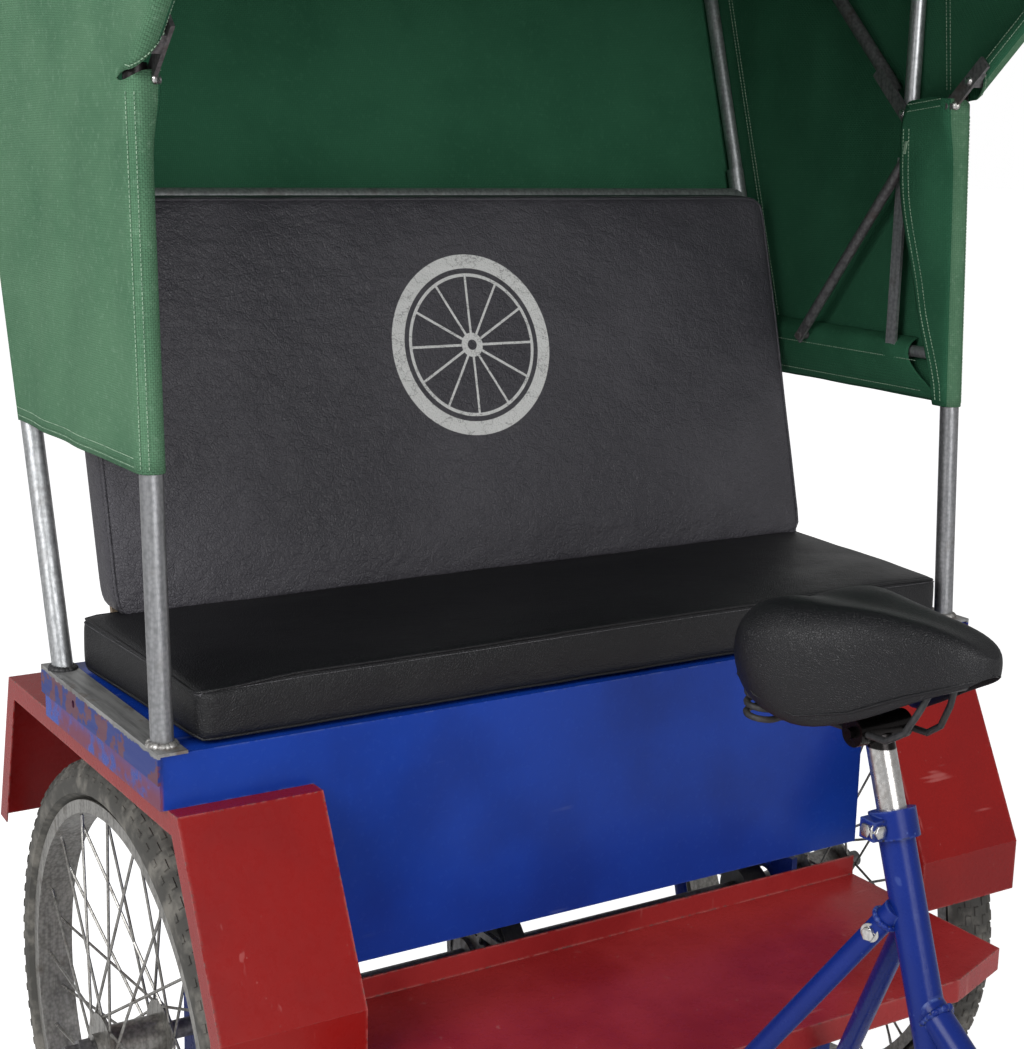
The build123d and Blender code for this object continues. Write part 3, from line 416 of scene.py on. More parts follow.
def angle_iron():
    f = Finish("angle iron", Metallic=0.55)
    x, y, z = f.axes()
    streaks = f.grain(7, 4.0, 0.6, f.stretched((1.0, 0.1, 1.0)))
    ragged = f.grain(17, 4.0, 0.65)
    metal = f.mix(f.step(streaks, 0.35, 0.68), (0.30, 0.30, 0.295, 1), (0.17, 0.17, 0.17, 1))
    metal = f.mix(f.step(f.grain(24, 4.0), 0.54, 0.66) * 0.6, metal, (0.13, 0.085, 0.06, 1))
    painted = f.step(z * -1.0 + ragged * 0.012, -0.6735, -0.6725)
    primed = f.step(f.grain(40, 4.0, 0.65), 0.52, 0.56)
    coat = f.mix(primed * 0.8, (0.012, 0.034, 0.22, 1), (0.16, 0.04, 0.033, 1))
    colour = f.mix(painted, metal, coat)
    return f.wear(Base_Color=colour, Roughness=0.34 + streaks * 0.2, Normal=f.bump(streaks + painted * 0.6, 0.12))


angle_metal = angle_iron()

# %% [markdown]
# Rubber is nearly black, but road dust makes it grey-brown in patches.
# Grips stay darker. The board behind the back cushion is plain plywood under thin grey paint.

# %% Rubber and board


def rubber(name, colour, dust, dusty):
    f = Finish(name, Specular_IOR_Level=0.35)
    blotch = f.grain(30, 4.0, 0.62)
    fine = f.grain(2.2, 3.0, 0.6)
    shade = f.mix(f.step(blotch, 0.42, 0.7) * dusty, colour, dust)
    return f.wear(Base_Color=shade, Roughness=0.62 + blotch * 0.25, Normal=f.bump(fine, 0.09))


tyre_rubber = rubber("tyre rubber", (0.055, 0.053, 0.048, 1), (0.18, 0.17, 0.15, 1), 0.9)
grip_rubber = rubber("grip rubber", (0.016, 0.016, 0.017, 1), (0.05, 0.047, 0.042, 1), 0.35)


def plywood():
    f = Finish("painted plywood")
    fibres = f.grain(5, 4.0, 0.6, f.stretched((0.05, 1.0, 1.0)))
    colour = f.mix(f.step(fibres, 0.4, 0.66), (0.20, 0.15, 0.10, 1), (0.13, 0.095, 0.065, 1))
    return f.wear(Base_Color=colour, Roughness=0.6 + fibres * 0.2, Normal=f.bump(fibres, 0.2))


board = plywood()

# %% [markdown]
# Each part of the frame now takes its finish by name. The material goes into the slots that the
# part already has, so nothing of its shape changes.

# %% Finishes on the frame
WORN = {
    box_blue: ["seat_box"],
    blue: [
        "axle_carrier", "frame_rails", "seat_tube", "head_tube", "down_tube", "loop_tube", "seat_stays",
        "floor_bars", "box_struts", "fork",
    ],
    red: ["fender_left", "fender_right", "front_mudguard"],
    footboard_red_painted_light: ["footboard"],
    post_metal: ["front_posts"],
    galvanised: ["rear_posts", "side_rails", "top_rail", "mid_bow", "rear_bow"],
    dark_steel: ["quarter_bow", "stays", "visor_bow", "rear_axle", "crankset", "chain"],
    saddle_post: ["seat_post"],
    bright_steel: ["handlebar"],
    wheel_steel: ["wheel_rear_left", "wheel_rear_right", "wheel_front"],
    black_iron: ["bearings", "brake_band", "pedal_left", "pedal_right"],
    angle_metal: ["side_angles"],
    grip_rubber: ["grips"],
    board: ["back_board"],
}
dressed = set()
for finish, names in WORN.items():
    for name in names:
        for slot in NODES[name].material_slots:
            slot.material = finish
        dressed.add(name)
print("still without a finish:", sorted(set(NODES) - dressed))

# %% [markdown]
# The hood is one piece of canvas, pulled over four bows, closed behind and hemmed below. Woven
# cloth is a grid of threads that pass over and under each other, so its bump is a checker of small
# rounded ridges laid along the sheet's own coordinates, in millimetres, and the gaps between the
# threads are painted darker as shade. The cloth's inner face is coated, and its material is a much
# darker copy of the sun-bleached outside's, darkened further as painted shade for the hood's inside.

# %% Canvas


def canvas(name, light, deep, faded):
    f = Finish(name, Specular_IOR_Level=0.12)
    u, v, _ = f.axes(f.cloth_place)
    thread = 2.3
    ridge_u = abs((u * (math.pi / thread)).wave())
    ridge_v = abs((v * (math.pi / thread)).wave())
    turn = ((u * (1 / thread)).floor() + (v * (1 / thread)).floor()) * 0.5
    over = (turn - turn.floor()) * 2.0
    weave = over * ridge_u + (1.0 - over) * ridge_v
    blotch = f.grain(150, 4.0, 0.6)
    fibre = f.grain(6, 3.0, 0.6)
    colour = f.mix(f.step(blotch, 0.34, 0.7), light, deep)
    colour = f.mix(f.step(fibre, 0.5, 0.78) * 0.5, colour, faded)
    # The gaps between the threads are painted darker, as painted shade in the weave.
    colour = f.mix((1.0 - weave) * 0.42, colour, (deep[0] * 0.4, deep[1] * 0.4, deep[2] * 0.4, 1))
    creases = f.bump(f.grain(70, 3.0, 0.55, f.stretched((1.0, 1.0, 0.35))), 3.0)
    normal = f.bump(weave, 0.35, creases)
    return f.wear(Base_Color=colour, Roughness=0.78 + fibre * 0.12, Normal=normal)


canvas_out = canvas("hood canvas", (0.095, 0.2, 0.117, 1), (0.065, 0.155, 0.088, 1), (0.17, 0.29, 0.195, 1))
# The inside canvas is darker partly from its coating and partly as painted shade for the hood's shaded inside.
canvas_inside_painted_shade = canvas("hood canvas inside with painted shade", (0.03, 0.125, 0.066, 1), (0.022, 0.1, 0.052, 1), (0.045, 0.15, 0.085, 1))

# %% [markdown]
# Every place on the sheet is worked out from the same lines that the tubes follow: the front and
# rear posts, and the bows' tops. A rib is one line of cloth across the hood, up one side, round the
# corner, over the top and down again. Ribs are taken from the visor at t = 0 to the rear bow at t =
# 1.

# %% The hood's lines
PIVOT = (60.0, BOX_TOP + 600)
VISOR_TOP = (-235.0, BOX_TOP + 893)
ROOF = [VISOR_TOP, (138.0, BOX_TOP + 965), (466.0, BOX_TOP + 917), (578.2, BOX_TOP + 885)]
HEM_Z = BOX_TOP + 255
REAR_LEAN = 0.317
SIDE_X = 498.0
BOW_X = 500.0
WALL_X = 510.8
CORNER = 109.0
BOW_BEND = 110.0
POST_WRAP = 12.8
BOW_WRAP = 10.8
ROOF_LIFT = 12.4
ROOF_SLACK = 0.022
LEAN_COS, LEAN_SIN = 0.953, 0.302
runs = [math.dist(a, b) for a, b in zip(ROOF, ROOF[1:])]
KNOTS = [0.0, runs[0] / sum(runs), (runs[0] + runs[1]) / sum(runs), 1.0]


def front_y(z):
    return 24 + 36 * (z - BOX_TOP - 1) / 599


def rear_y(z):
    return 298 + REAR_LEAN * (z - BOX_TOP - 1)


def between(a, b, t):
    return a + (b - a) * t


def ease(t):
    t = min(max(t, 0.0), 1.0)
    return t * t * (3 - 2 * t)


def roof(t):
    """Side-view place of the roof line, just over the bows and slack between them."""
    n = max(k for k in range(3) if t >= KNOTS[k] or k == 0)
    local = (t - KNOTS[n]) / (KNOTS[n + 1] - KNOTS[n])
    (y0, z0), (y1, z1) = ROOF[n], ROOF[n + 1]
    slack = 4 * local * (1 - local) * runs[n] * ROOF_SLACK
    run = runs[n]
    ny, nz = -(z1 - z0) / run, (y1 - y0) / run
    lift = ROOF_LIFT - slack
    return between(y0, y1, local) + ny * lift, between(z0, z1, local) + nz * lift, slack


LOW_ROWS, LEG_ROWS, ARC_ROWS, TOP_ROWS = 12, 10, 8, 13


def rib(t, start=0.0):
    """Upper half rib from the pivots' height to the middle of the roof."""
    foot = (between(PIVOT[0], rear_y(PIVOT[1]), t), PIVOT[1])
    top_y, top_z, slack = roof(t)
    corner = between(BOW_BEND + BOW_WRAP, CORNER, ease(t / 0.15))
    if t == 0:
        run = math.dist(PIVOT, VISOR_TOP)
        top_y, top_z = (between(a, b, 1 + BOW_WRAP / run) for a, b in zip(PIVOT, VISOR_TOP))
    length = math.dist(foot, (top_y, top_z))
    ky, kz = (top_y - foot[0]) / length, (top_z - foot[1]) / length
    places = []
    for n in range(LEG_ROWS + 1):
        s = start + (length - corner - start) * n / LEG_ROWS
        places.append((WALL_X, s))
    for n in range(1, ARC_ROWS + 1):
        a = math.pi / 2 * n / ARC_ROWS
        x = WALL_X - corner + corner * math.cos(a) - slack * 0.5 * math.sin(2 * a)
        places.append((x, length - corner + corner * math.sin(a)))
    edge = WALL_X - corner
    for n in range(1, TOP_ROWS + 1):
        places.append((edge * (1 - n / TOP_ROWS), length))
    return [(x, foot[0] + s * ky, foot[1] + s * kz) for x, s in places], (ky, kz)


# %% [markdown]
# In front the sheet is rolled round the posts and the visor bow, which makes the sleeves that hold
# it. The lower end of the visor's sleeve is cut on a slant and leaves a slit at the pivot, where
# the bow's flattened end shows. On the inside the post's sleeve ends in a tapered facing, wider at
# its top, which covers the hood stay's fixing.

# %% Rows of the sheet
SLEEVE_TOP = PIVOT[1] - 2
STRAP_ROOM = 11.5
FACING_REACH = 68
COLUMNS = [0.0, 0.04, 0.1, 0.18, 0.26, 0.34, 0.41, KNOTS[1], 0.53, 0.61, 0.69, 0.77, KNOTS[2], 0.93, 1.0]


def low_height(n, top):
    return between(HEM_Z, top, n / LOW_ROWS)


def facing_width(z):
    """How far back the facing reaches behind the post, widest at its top."""
    return between(16, FACING_REACH, ease((z - HEM_Z) / 120) * 0.35 + ease((z - HEM_Z) / 285) * 0.65)


def strap_cover(z):
    """How far the cloth stands in over the hood stay's strap, close under the pivot."""
    return ease((z - 1225) / 36)


def tucked_in(share, z):
    """How far the facing stands in from the post's sleeve at a share of its width."""
    return STRAP_ROOM * max(ease(share * 2.2) * ease((z - 1060) / 130), strap_cover(z))


def low_column(t):
    top = SLEEVE_TOP if t == 0 else PIVOT[1]
    column = []
    for n in range(LOW_ROWS + 1):
        z = low_height(n, top)
        column.append((WALL_X, between(front_y(z), rear_y(z), t), z))
    return column


def sleeve_column(angle):
    a = math.radians(angle)
    column = []
    for n in range(LOW_ROWS + 1):
        z = low_height(n, SLEEVE_TOP + 11 * ease(angle / 120))
        inwards = STRAP_ROOM * ease((angle - 100) / 80) * strap_cover(z)
        column.append((SIDE_X - inwards + POST_WRAP * math.cos(a), front_y(z) - POST_WRAP * math.sin(a), z))
    return column


def facing_column(share):
    column = []
    for n in range(LOW_ROWS + 1):
        z = low_height(n, SLEEVE_TOP + 15 - 9 * share if share < 1 else SLEEVE_TOP - 23)
        column.append((SIDE_X - POST_WRAP - tucked_in(share, z), front_y(z) + facing_width(z) * share, z))
    return column


def facing_out(n):
    """How much a rib's row looks sideways and how much upwards."""
    if n <= LEG_ROWS:
        return 1.0, 0.0
    if n <= LEG_ROWS + ARC_ROWS:
        b = math.pi / 2 * (n - LEG_ROWS) / ARC_ROWS
        return math.cos(b), math.sin(b)
    return 0.0, 1.0


def visor_column(angle):
    """One line of the visor sleeve, its lower end cut on a slant."""
    a = math.radians(angle)
    start = 12 + 44 * ease(angle / 170)
    points, (ky, kz) = rib(0.0, start)
    column = []
    for n, (x, y, z) in enumerate(points):
        nx, up = facing_out(n)
        out, ahead = BOW_WRAP * (math.cos(a) - 1), BOW_WRAP * math.sin(a)
        column.append((x + nx * out, y + up * ky * out - ahead * kz, z + up * kz * out + ahead * ky))
    return column


def corner_low(angle):
    a = math.radians(angle)
    column = []
    for n in range(LOW_ROWS + 1):
        z = low_height(n, PIVOT[1])
        out, behind = POST_WRAP * math.cos(a), POST_WRAP * math.sin(a)
        column.append((SIDE_X + out, rear_y(z) + behind * LEAN_COS, z - behind * LEAN_SIN))
    return column


def corner_up(angle):
    a = math.radians(angle)
    points, (ky, kz) = rib(1.0)
    column = []
    for n, (x, y, z) in enumerate(points):
        nx, up = facing_out(n)
        fade = ease(n / LEG_ROWS)
        wrap = between(POST_WRAP, BOW_WRAP, fade)
        out, behind = wrap * math.cos(a) - BOW_WRAP, wrap * math.sin(a)
        side = between(SIDE_X - BOW_X, 0.0, fade) if nx else 0.0
        column.append((x + nx * (out + side), y + up * ky * out + behind * kz, z + up * kz * out - behind * ky))
    return column


# %% [markdown]
# The columns are joined into one half of the sheet, which is mirrored, and the back is filled from
# the rear corner inwards so that its rows run on from the side's. Doubles are merged where the
# lower and the upper parts meet, which leaves only the slit open. A bow's cloth is never quite
# smooth, so the walls then get shallow folds that die away at the tubes.

# %% The hood as one sheet
hood_points, hood_faces, hood_uvs, inside_and_shaded_faces = [], [], [], []


def lay(columns, along, inside_and_shaded_columns=0):
    """Join columns of places into faces, with the cloth's own coordinates in millimetres."""
    start = len(hood_points)
    rows = len(columns[0])
    for column, u in zip(columns, along):
        v = 0.0
        for n, place in enumerate(column):
            v = place[2] if n == 0 else v + math.dist(place, column[n - 1])
            hood_points.append(place)
            hood_uvs.append((u, v))
    for c in range(len(columns) - 1):
        for r in range(rows - 1):
            a = start + c * rows + r
            hood_faces.append((a, a + rows, a + rows + 1, a + 1))
            # The first columns take the inside canvas: the facing's inner cloth, and painted shade on the visor's
            # sleeve.
            inside_and_shaded_faces.append(c < inside_and_shaded_columns)


def wound(start, radius, angles):
    """The cloth's own coordinate along a wrap round a tube, at each angle in degrees."""
    return [start + radius * math.radians(a) for a in angles]


POST_TURNS = (180, 150, 120, 90, 60, 30)
VISOR_TURNS = (215, 180, 150, 120, 90, 60, 30)
CORNER_TURNS = (30, 60, 90)
FACING_SHARES = (1.0, 0.87, 0.72, 0.5, 0.25)
REAR_U = 480
low_front = [facing_column(s) for s in FACING_SHARES] + [sleeve_column(a) for a in POST_TURNS]
low_along = [PIVOT[0] - 40 - 70 * s for s in FACING_SHARES] + wound(PIVOT[0], -POST_WRAP, POST_TURNS)
low_back = [low_column(t) for t in COLUMNS] + [corner_low(a) for a in CORNER_TURNS]
low_back_along = [between(PIVOT[0], REAR_U, t) for t in COLUMNS] + wound(REAR_U, POST_WRAP, CORNER_TURNS)
lay(low_front + low_back, low_along + low_back_along, len(FACING_SHARES) + 1)
visor = [visor_column(a) for a in VISOR_TURNS]
upper = [visor_column(0)] + [rib(t)[0] for t in COLUMNS[1:]] + [corner_up(a) for a in CORNER_TURNS]
# The visor sleeve's first three columns take the inside canvas as painted shade where the sleeve turns away from
# the light.
lay(visor + upper, wound(PIVOT[0], -BOW_WRAP, VISOR_TURNS) + low_back_along, 3)

lower_edge, upper_edge = corner_low(90), corner_up(90)
edge = lower_edge + upper_edge[1 : LEG_ROWS + 1]
shares_up = [(p[2] - edge[0][2]) / (edge[-1][2] - edge[0][2]) for p in edge]
back_columns = [edge]
for x, y, z in upper_edge[LEG_ROWS + 1 :]:
    foot = (x if x > 0 else 0.0, edge[0][1], edge[0][2])
    back_columns.append([tuple(between(a, b, s) for a, b in zip(foot, (x, y, z))) for s in shares_up])
lay(back_columns, [REAR_U + 20 + (SIDE_X - column[0][0]) for column in back_columns])


def mesh_piece(name, points, faces, finishes):
    """A new mesh object from places in millimetres."""
    mesh = bpy.data.meshes.new(name)
    mesh.from_pydata([spot(*p) for p in points], [], faces)
    made = bpy.data.objects.new(name, mesh)
    bpy.context.scene.collection.objects.link(made)
    for finish in finishes:
        mesh.materials.append(finish)
    return made


def alone(piece):
    bpy.ops.object.select_all(action="DESELECT")
    bpy.context.view_layer.objects.active = piece
    piece.select_set(True)


def merge(piece, distance=0.00005, recalculate=True):
    alone(piece)
    bpy.ops.object.mode_set(mode="EDIT")
    bpy.ops.mesh.select_all(action="SELECT")
    bpy.ops.mesh.remove_doubles(threshold=distance)
    if recalculate:
        bpy.ops.mesh.normals_make_consistent(inside=False)
    bpy.ops.object.mode_set(mode="OBJECT")


def apply_modifier(piece, kind, **settings):
    alone(piece)
    made = piece.modifiers.new(kind.lower(), kind)
    for key, value in settings.items():
        setattr(made, key, value)
    bpy.ops.object.modifier_apply(modifier=made.name)


def smooth(piece, angle=40):
    alone(piece)
    bpy.ops.object.shade_smooth_by_angle(angle=math.radians(angle))


count = len(hood_points)
both_points = hood_points + [(-x, y, z) for x, y, z in hood_points]
both_faces = hood_faces + [tuple(count + n for n in reversed(face)) for face in hood_faces]
both_uvs = hood_uvs + hood_uvs
hood = mesh_piece("hood_sheet", both_points, both_faces, [canvas_out, canvas_inside_painted_shade])
layer = hood.data.uv_layers.new(name="cloth")
for loop in hood.data.loops:
    layer.data[loop.index].uv = both_uvs[loop.vertex_index]
for face, dark in zip(hood.data.polygons, inside_and_shaded_faces + inside_and_shaded_faces):
    face.material_index = int(dark)
merge(hood, recalculate=False)
apply_modifier(hood, "SUBSURF", levels=1, render_levels=1)


def fold(y, z):
    """How far the slack side wall stands out at a place in side view."""
    clear = ease((y - front_y(z) - 26) / 60) * ease((rear_y(z) - 24 - y) / 60)
    long_fold = noise.noise(Vector((y / 55 + z / 400, z / 330, 2.0)))
    drag = noise.noise(Vector(((y - 60) / 40, math.dist((y, z), PIVOT) / 260, 7.0)))
    near = ease(1 - math.dist((y, z), PIVOT) / 420)
    return max(clear * (1.8 + 3.4 * long_fold + 2.6 * near * drag), -0.6)


def back_fold(x, z):
    """How far the slack back stands out at a place seen from behind."""
    clear = ease((490 - abs(x)) / 70)
    return clear * (2.2 + 4 * noise.noise(Vector((x * 0.014, 3.0, z / 300))))


for vertex in hood.data.vertices:
    x, y, z = vertex.co.x * 1000, (vertex.co.y - SHIFT_Y) * 1000, vertex.co.z * 1000
    if abs(x) > 509 and y > front_y(z) + 20:
        vertex.co.x += math.copysign(fold(y, z), x) / 1000
    elif y > rear_y(z) + 9 and abs(x) < 490:
        vertex.co.y += back_fold(x, z) / 1000
alone(hood)
thick = hood.modifiers.new("thickness", "SOLIDIFY")
thick.thickness = 0.0016
thick.offset = 0
# The sheet's inner face takes the inside canvas, with its painted shade.
thick.material_offset = 1
smooth(hood, 50)
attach(hood, "chassis")
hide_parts("canopy")

# %% [markdown]
# The bench is covered in black leathercloth over foam. Its print is a pebble grain a couple of
# millimetres across, broken up by finer pores, and where the foam has been sat on, the cover shows
# soft drag wrinkles. The shine varies slowly, as the cloth is wiped more in some places than in
# others.

# %% Leathercloth


def leathercloth(name, colour, worn, pebble, gloss, relief, emblem=None):
    f = Finish(name, Specular_IOR_Level=0.33)
    cells = f.cells(pebble, "DISTANCE_TO_EDGE")
    pores = f.grain(pebble * 0.5, 3.0, 0.6)
    wrinkles = f.grain(26, 4.0, 0.62, f.stretched((0.7, 1.0, 1.0)))
    drift = f.node("ShaderNodeTexNoise", {}, {"Vector": f.place, "Scale": 60.0, "Detail": 3.0}, 1)
    bend = {0: drift, 1: (0.016, 0.016, 0.016), 2: f.place}
    bent_place = f.node("ShaderNodeVectorMath", {"operation": "MULTIPLY_ADD"}, bend)
    crinkle = f.step(f.cells(11, "DISTANCE_TO_EDGE", bent_place), 0.0, 0.13)
    blotch = f.grain(170, 3.0, 0.5)
    pebbles = f.step(cells, 0.0, 0.22)
    lines = f.step(abs(wrinkles - 0.5), 0.012, 0.0)
    shade = f.mix(f.step(blotch, 0.4, 0.7) * 0.7, colour, worn)
    # The grooves between the pebbles are painted darker, as painted shade in the grain.
    shade = f.mix((1.0 - pebbles) * 0.35, shade, (colour[0] * 0.5, colour[1] * 0.5, colour[2] * 0.5, 1))
    roughness = gloss + pores * 0.16 + f.step(blotch, 0.38, 0.66) * 0.1
    if emblem:
        ink = emblem(f) * (1.0 - lines * 0.5)
        shade = f.mix(ink * 0.93, shade, (0.62, 0.62, 0.61, 1))
        roughness = roughness + ink * 0.12
    creases = f.bump(wrinkles + crinkle * 0.055 - lines * 0.05, relief)
    return f.wear(Base_Color=shade, Roughness=roughness, Normal=f.bump(pebbles * 0.7 + pores * 0.5, 0.3, creases))


# %% [markdown]
# In the middle of the backrest a plain emblem is screen-printed in white: a ring with a hub and
# spokes, as on any cycle's wheel. It is drawn with two measurements, the distance from its middle
# and the angle round it.

# %% A printed wheel
EMBLEM_X, EMBLEM_Z = 0.012, 0.997
LEAN_STRETCH = 1.035


def printed_wheel(f):
    x, _, z = f.axes()
    across, up = x - EMBLEM_X, (z - EMBLEM_Z) * LEAN_STRETCH
    out = (across * across + up * up).root()
    angle = f.node("ShaderNodeMath", {"operation": "ARCTAN2"}, {0: up, 1: across})
    ring = f.step(abs(out - 0.098), 0.0085, 0.0078)
    rim = f.step(abs(out - 0.082), 0.0022, 0.0016)
    hub = f.step(out, 0.0145, 0.0138) * f.step(out, 0.0058, 0.0064)
    beam = abs((angle * 6.0).wave()) * out
    spokes = f.step(beam, 0.0095, 0.0075) * f.step(out, 0.083, 0.081) * f.step(out, 0.012, 0.014)
    return ring.higher(rim).higher(hub).higher(spokes)


seat_vinyl = leathercloth(
    "seat leathercloth", (0.006, 0.006, 0.0072, 1), (0.01, 0.01, 0.0115, 1), pebble=2.6, gloss=0.28, relief=1.4
)
# The backrest is the same black leathercloth as the seat, made several times lighter as painted sheen.
back_vinyl_painted_sheen = leathercloth(
    "back leathercloth with painted sheen", (0.045, 0.043, 0.051, 1), (0.066, 0.063, 0.073, 1), pebble=3.0, gloss=0.28, relief=4.2,
    emblem=printed_wheel,
)
saddle_vinyl = leathercloth(
    "saddle leathercloth", (0.007, 0.007, 0.0085, 1), (0.012, 0.012, 0.0135, 1), pebble=2.0, gloss=0.3, relief=0.4
)

# %% [markdown]
# Each cushion starts as a box a little smaller than the finished pad. It is cut into a grid, its
# outer edges are held as the sewn seams hold the real cover, and a cloth simulation with air
# pressure swells the panels between them. How far a point may move is capped, and one subdivision
# rounds the result.

# %% Swelling a pad


def grid_box(name, size, cuts):
    """A box centred on the origin, cut evenly along its three axes, in metres."""
    bpy.ops.object.select_all(action="DESELECT")
    bpy.ops.mesh.primitive_cube_add(size=1)
    made = bpy.context.object
    made.name = name
    made.scale = size
    bpy.ops.object.transform_apply(location=True, rotation=True, scale=True)
    for axis in range(3):
        for n in range(1, cuts[axis]):
            bpy.ops.object.mode_set(mode="EDIT")
            bpy.ops.mesh.select_all(action="SELECT")
            normal = [0, 0, 0]
            normal[axis] = 1
            place = [0, 0, 0]
            place[axis] = size[axis] * (n / cuts[axis] - 0.5)
            bpy.ops.mesh.bisect(plane_co=place, plane_no=normal)
            bpy.ops.object.mode_set(mode="OBJECT")
    return made


SWELL_FRAMES = 20
SWELL_PRESSURE = 4.0


def swell(pad, size, cap):
    """Blow the pad up between its seams, then cap how far each point has moved."""
    before = [vertex.co.copy() for vertex in pad.data.vertices]
    held = pad.vertex_groups.new(name="seams")
    half = [s / 2 for s in size]
    for vertex in pad.data.vertices:
        near = sum(abs(abs(vertex.co[n]) - half[n]) < 0.0035 for n in range(3))
        held.add([vertex.index], 1.0 if near > 1 else 0.0, "REPLACE")
    alone(pad)
    cloth = pad.modifiers.new("swell", "CLOTH")
    cloth.settings.use_pressure = True
    cloth.settings.uniform_pressure_force = SWELL_PRESSURE
    cloth.settings.quality = 6
    cloth.settings.mass = 0.3
    cloth.settings.tension_stiffness = 12
    cloth.settings.compression_stiffness = 12
    cloth.settings.bending_stiffness = 0.6
    cloth.settings.vertex_group_mass = "seams"
    cloth.settings.effector_weights.gravity = 0
    for frame_number in range(1, SWELL_FRAMES + 1):
        bpy.context.scene.frame_set(frame_number)
    bpy.ops.object.modifier_apply(modifier=cloth.name)
    bpy.context.scene.frame_set(1)
    pad.vertex_groups.clear()
    moved = 0.0
    for vertex, old in zip(pad.data.vertices, before):
        shift = vertex.co - old
        if shift.length > cap:
            vertex.co = old + shift * (cap / shift.length)
        moved = max(moved, min(shift.length, cap))
    print(pad.name, "swelled by", round(moved * 1000, 1), "mm")


def rounded(pad, size, radius):
    """Round the box's upright corners and its edges, as the foam does under the cover."""
    half = [s / 2 for s in size]
    for vertex in pad.data.vertices:
        inner = Vector([max(-half[n] + radius, min(half[n] - radius, vertex.co[n])) for n in range(3)])
        out = vertex.co - inner
        if out.length > radius:
            vertex.co = inner + out.normalized() * radius


# %% [markdown]
# The seat cushion is a plain boxed pad with a seam all round its top and bottom edges. It narrows a
# little towards its front, its front corners sag where people climb in, and the middle of each seat
# has a shallow dip.

# %% Seat cushion
SEAT_SIZE = (0.962, 0.286, 0.059)
SEAT_MIDDLE = spot(0, 150, BOX_TOP + 30.6)
SEAT_CAP = 0.005
seat = grid_box("seat_pad", SEAT_SIZE, (60, 18, 5))
rounded(seat, SEAT_SIZE, radius=0.005)
swell(seat, SEAT_SIZE, SEAT_CAP)
for vertex in seat.data.vertices:
    x, y, z = vertex.co
    if z > 0:
        dip = math.exp(-(((abs(x) - 0.23) / 0.13) ** 2) - ((y + 0.03) / 0.11) ** 2)
        vertex.co.z -= 0.0035 * dip * min(z / 0.027, 1)
        vertex.co.z += 0.0012 * noise.noise(Vector((x * 16, y * 22, 1.0)))
    else:
        vertex.co.z = max(z, -0.0305)
    vertex.co.y += 0.0012 * noise.noise(Vector((x * 20, z * 30, 4.0)))
    vertex.co.x *= 0.9875 + 0.0125 * y / 0.143
    sag = 0.006 if x < 0 else 0.002
    vertex.co.z -= sag * ease((abs(x) - 0.36) / 0.1) * ease((-y - 0.04) / 0.09) * max(z / 0.0295, 0)
apply_modifier(seat, "SUBSURF", levels=1, render_levels=1)
seat.data.transform(Matrix.Translation(SEAT_MIDDLE))
seat.data.materials.append(seat_vinyl)
smooth(seat, 60)
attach(seat, "chassis")
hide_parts("seat_cushion")

# %% [markdown]
# The back cushion leans on its board. It is made upright in its own frame, then sheared to the
# board's lean, and its corners are rounder than the seat's. The pull of the cover leaves shallow
# dents along its top and a soft swelling in the middle.

# %% Back cushion
BACK_SIZE = (0.930, 0.050, 0.4275)
BACK_LEAN = 0.266
BACK_CAP = 0.0065
back = grid_box("back_pad", BACK_SIZE, (58, 4, 27))
half_x, half_z, corner = BACK_SIZE[0] / 2, BACK_SIZE[2] / 2, 0.017
for vertex in back.data.vertices:
    over_x, over_z = abs(vertex.co.x) - (half_x - corner), abs(vertex.co.z) - (half_z - corner)
    if over_x > 0 and over_z > 0:
        shrink = max(over_x, over_z) / math.hypot(over_x, over_z)
        vertex.co.x = math.copysign(half_x - corner + over_x * shrink, vertex.co.x)
        vertex.co.z = math.copysign(half_z - corner + over_z * shrink, vertex.co.z)
swell(back, BACK_SIZE, BACK_CAP)
for vertex in back.data.vertices:
    x, y, z = vertex.co
    if y < 0:
        vertex.co.y += 0.0024 * noise.noise(Vector((x * 7, 2.0, z * 9)))
        vertex.co.y += 0.0016 * ease((z - 0.15) / 0.06) * math.sin(x * 46)
    else:
        vertex.co.y = min(y, 0.0268)
apply_modifier(back, "SUBSURF", levels=1, render_levels=1)
lean = Matrix.Identity(4)
lean[1][2] = BACK_LEAN
BACK_LOW = BOX_TOP + 55.8
HALF_TALL = BACK_SIZE[2] * 500
back_front = 263.4 + BACK_LEAN * HALF_TALL
back_at = Matrix.Translation(spot(15.5, back_front + 27, BACK_LOW + HALF_TALL)) @ lean
back.data.transform(back_at)
back.data.materials.append(back_vinyl_painted_sheen)
smooth(back, 60)
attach(back, "chassis")
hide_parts("back_cushion")

# %% [markdown]
# Small things that come in hundreds, such as stitches, weld beads and tread blocks, are modelled
# once and then stamped: the one shape's points are copied to each place, turned to its direction,
# and kept together as one piece.

# %% Stamping one shape many times


def turned(place, along, out, scale=(1, 1, 1)):
    """Where a copy goes: its X along the row, its Z standing out of the surface."""
    x = Vector(along).normalized()
    z = Vector(out) - x * Vector(out).dot(x)
    z.normalize()
    y = z.cross(x)
    frame_of = Matrix((x * scale[0], y * scale[1], z * scale[2])).transposed().to_4x4()
    return Matrix.Translation(place) @ frame_of


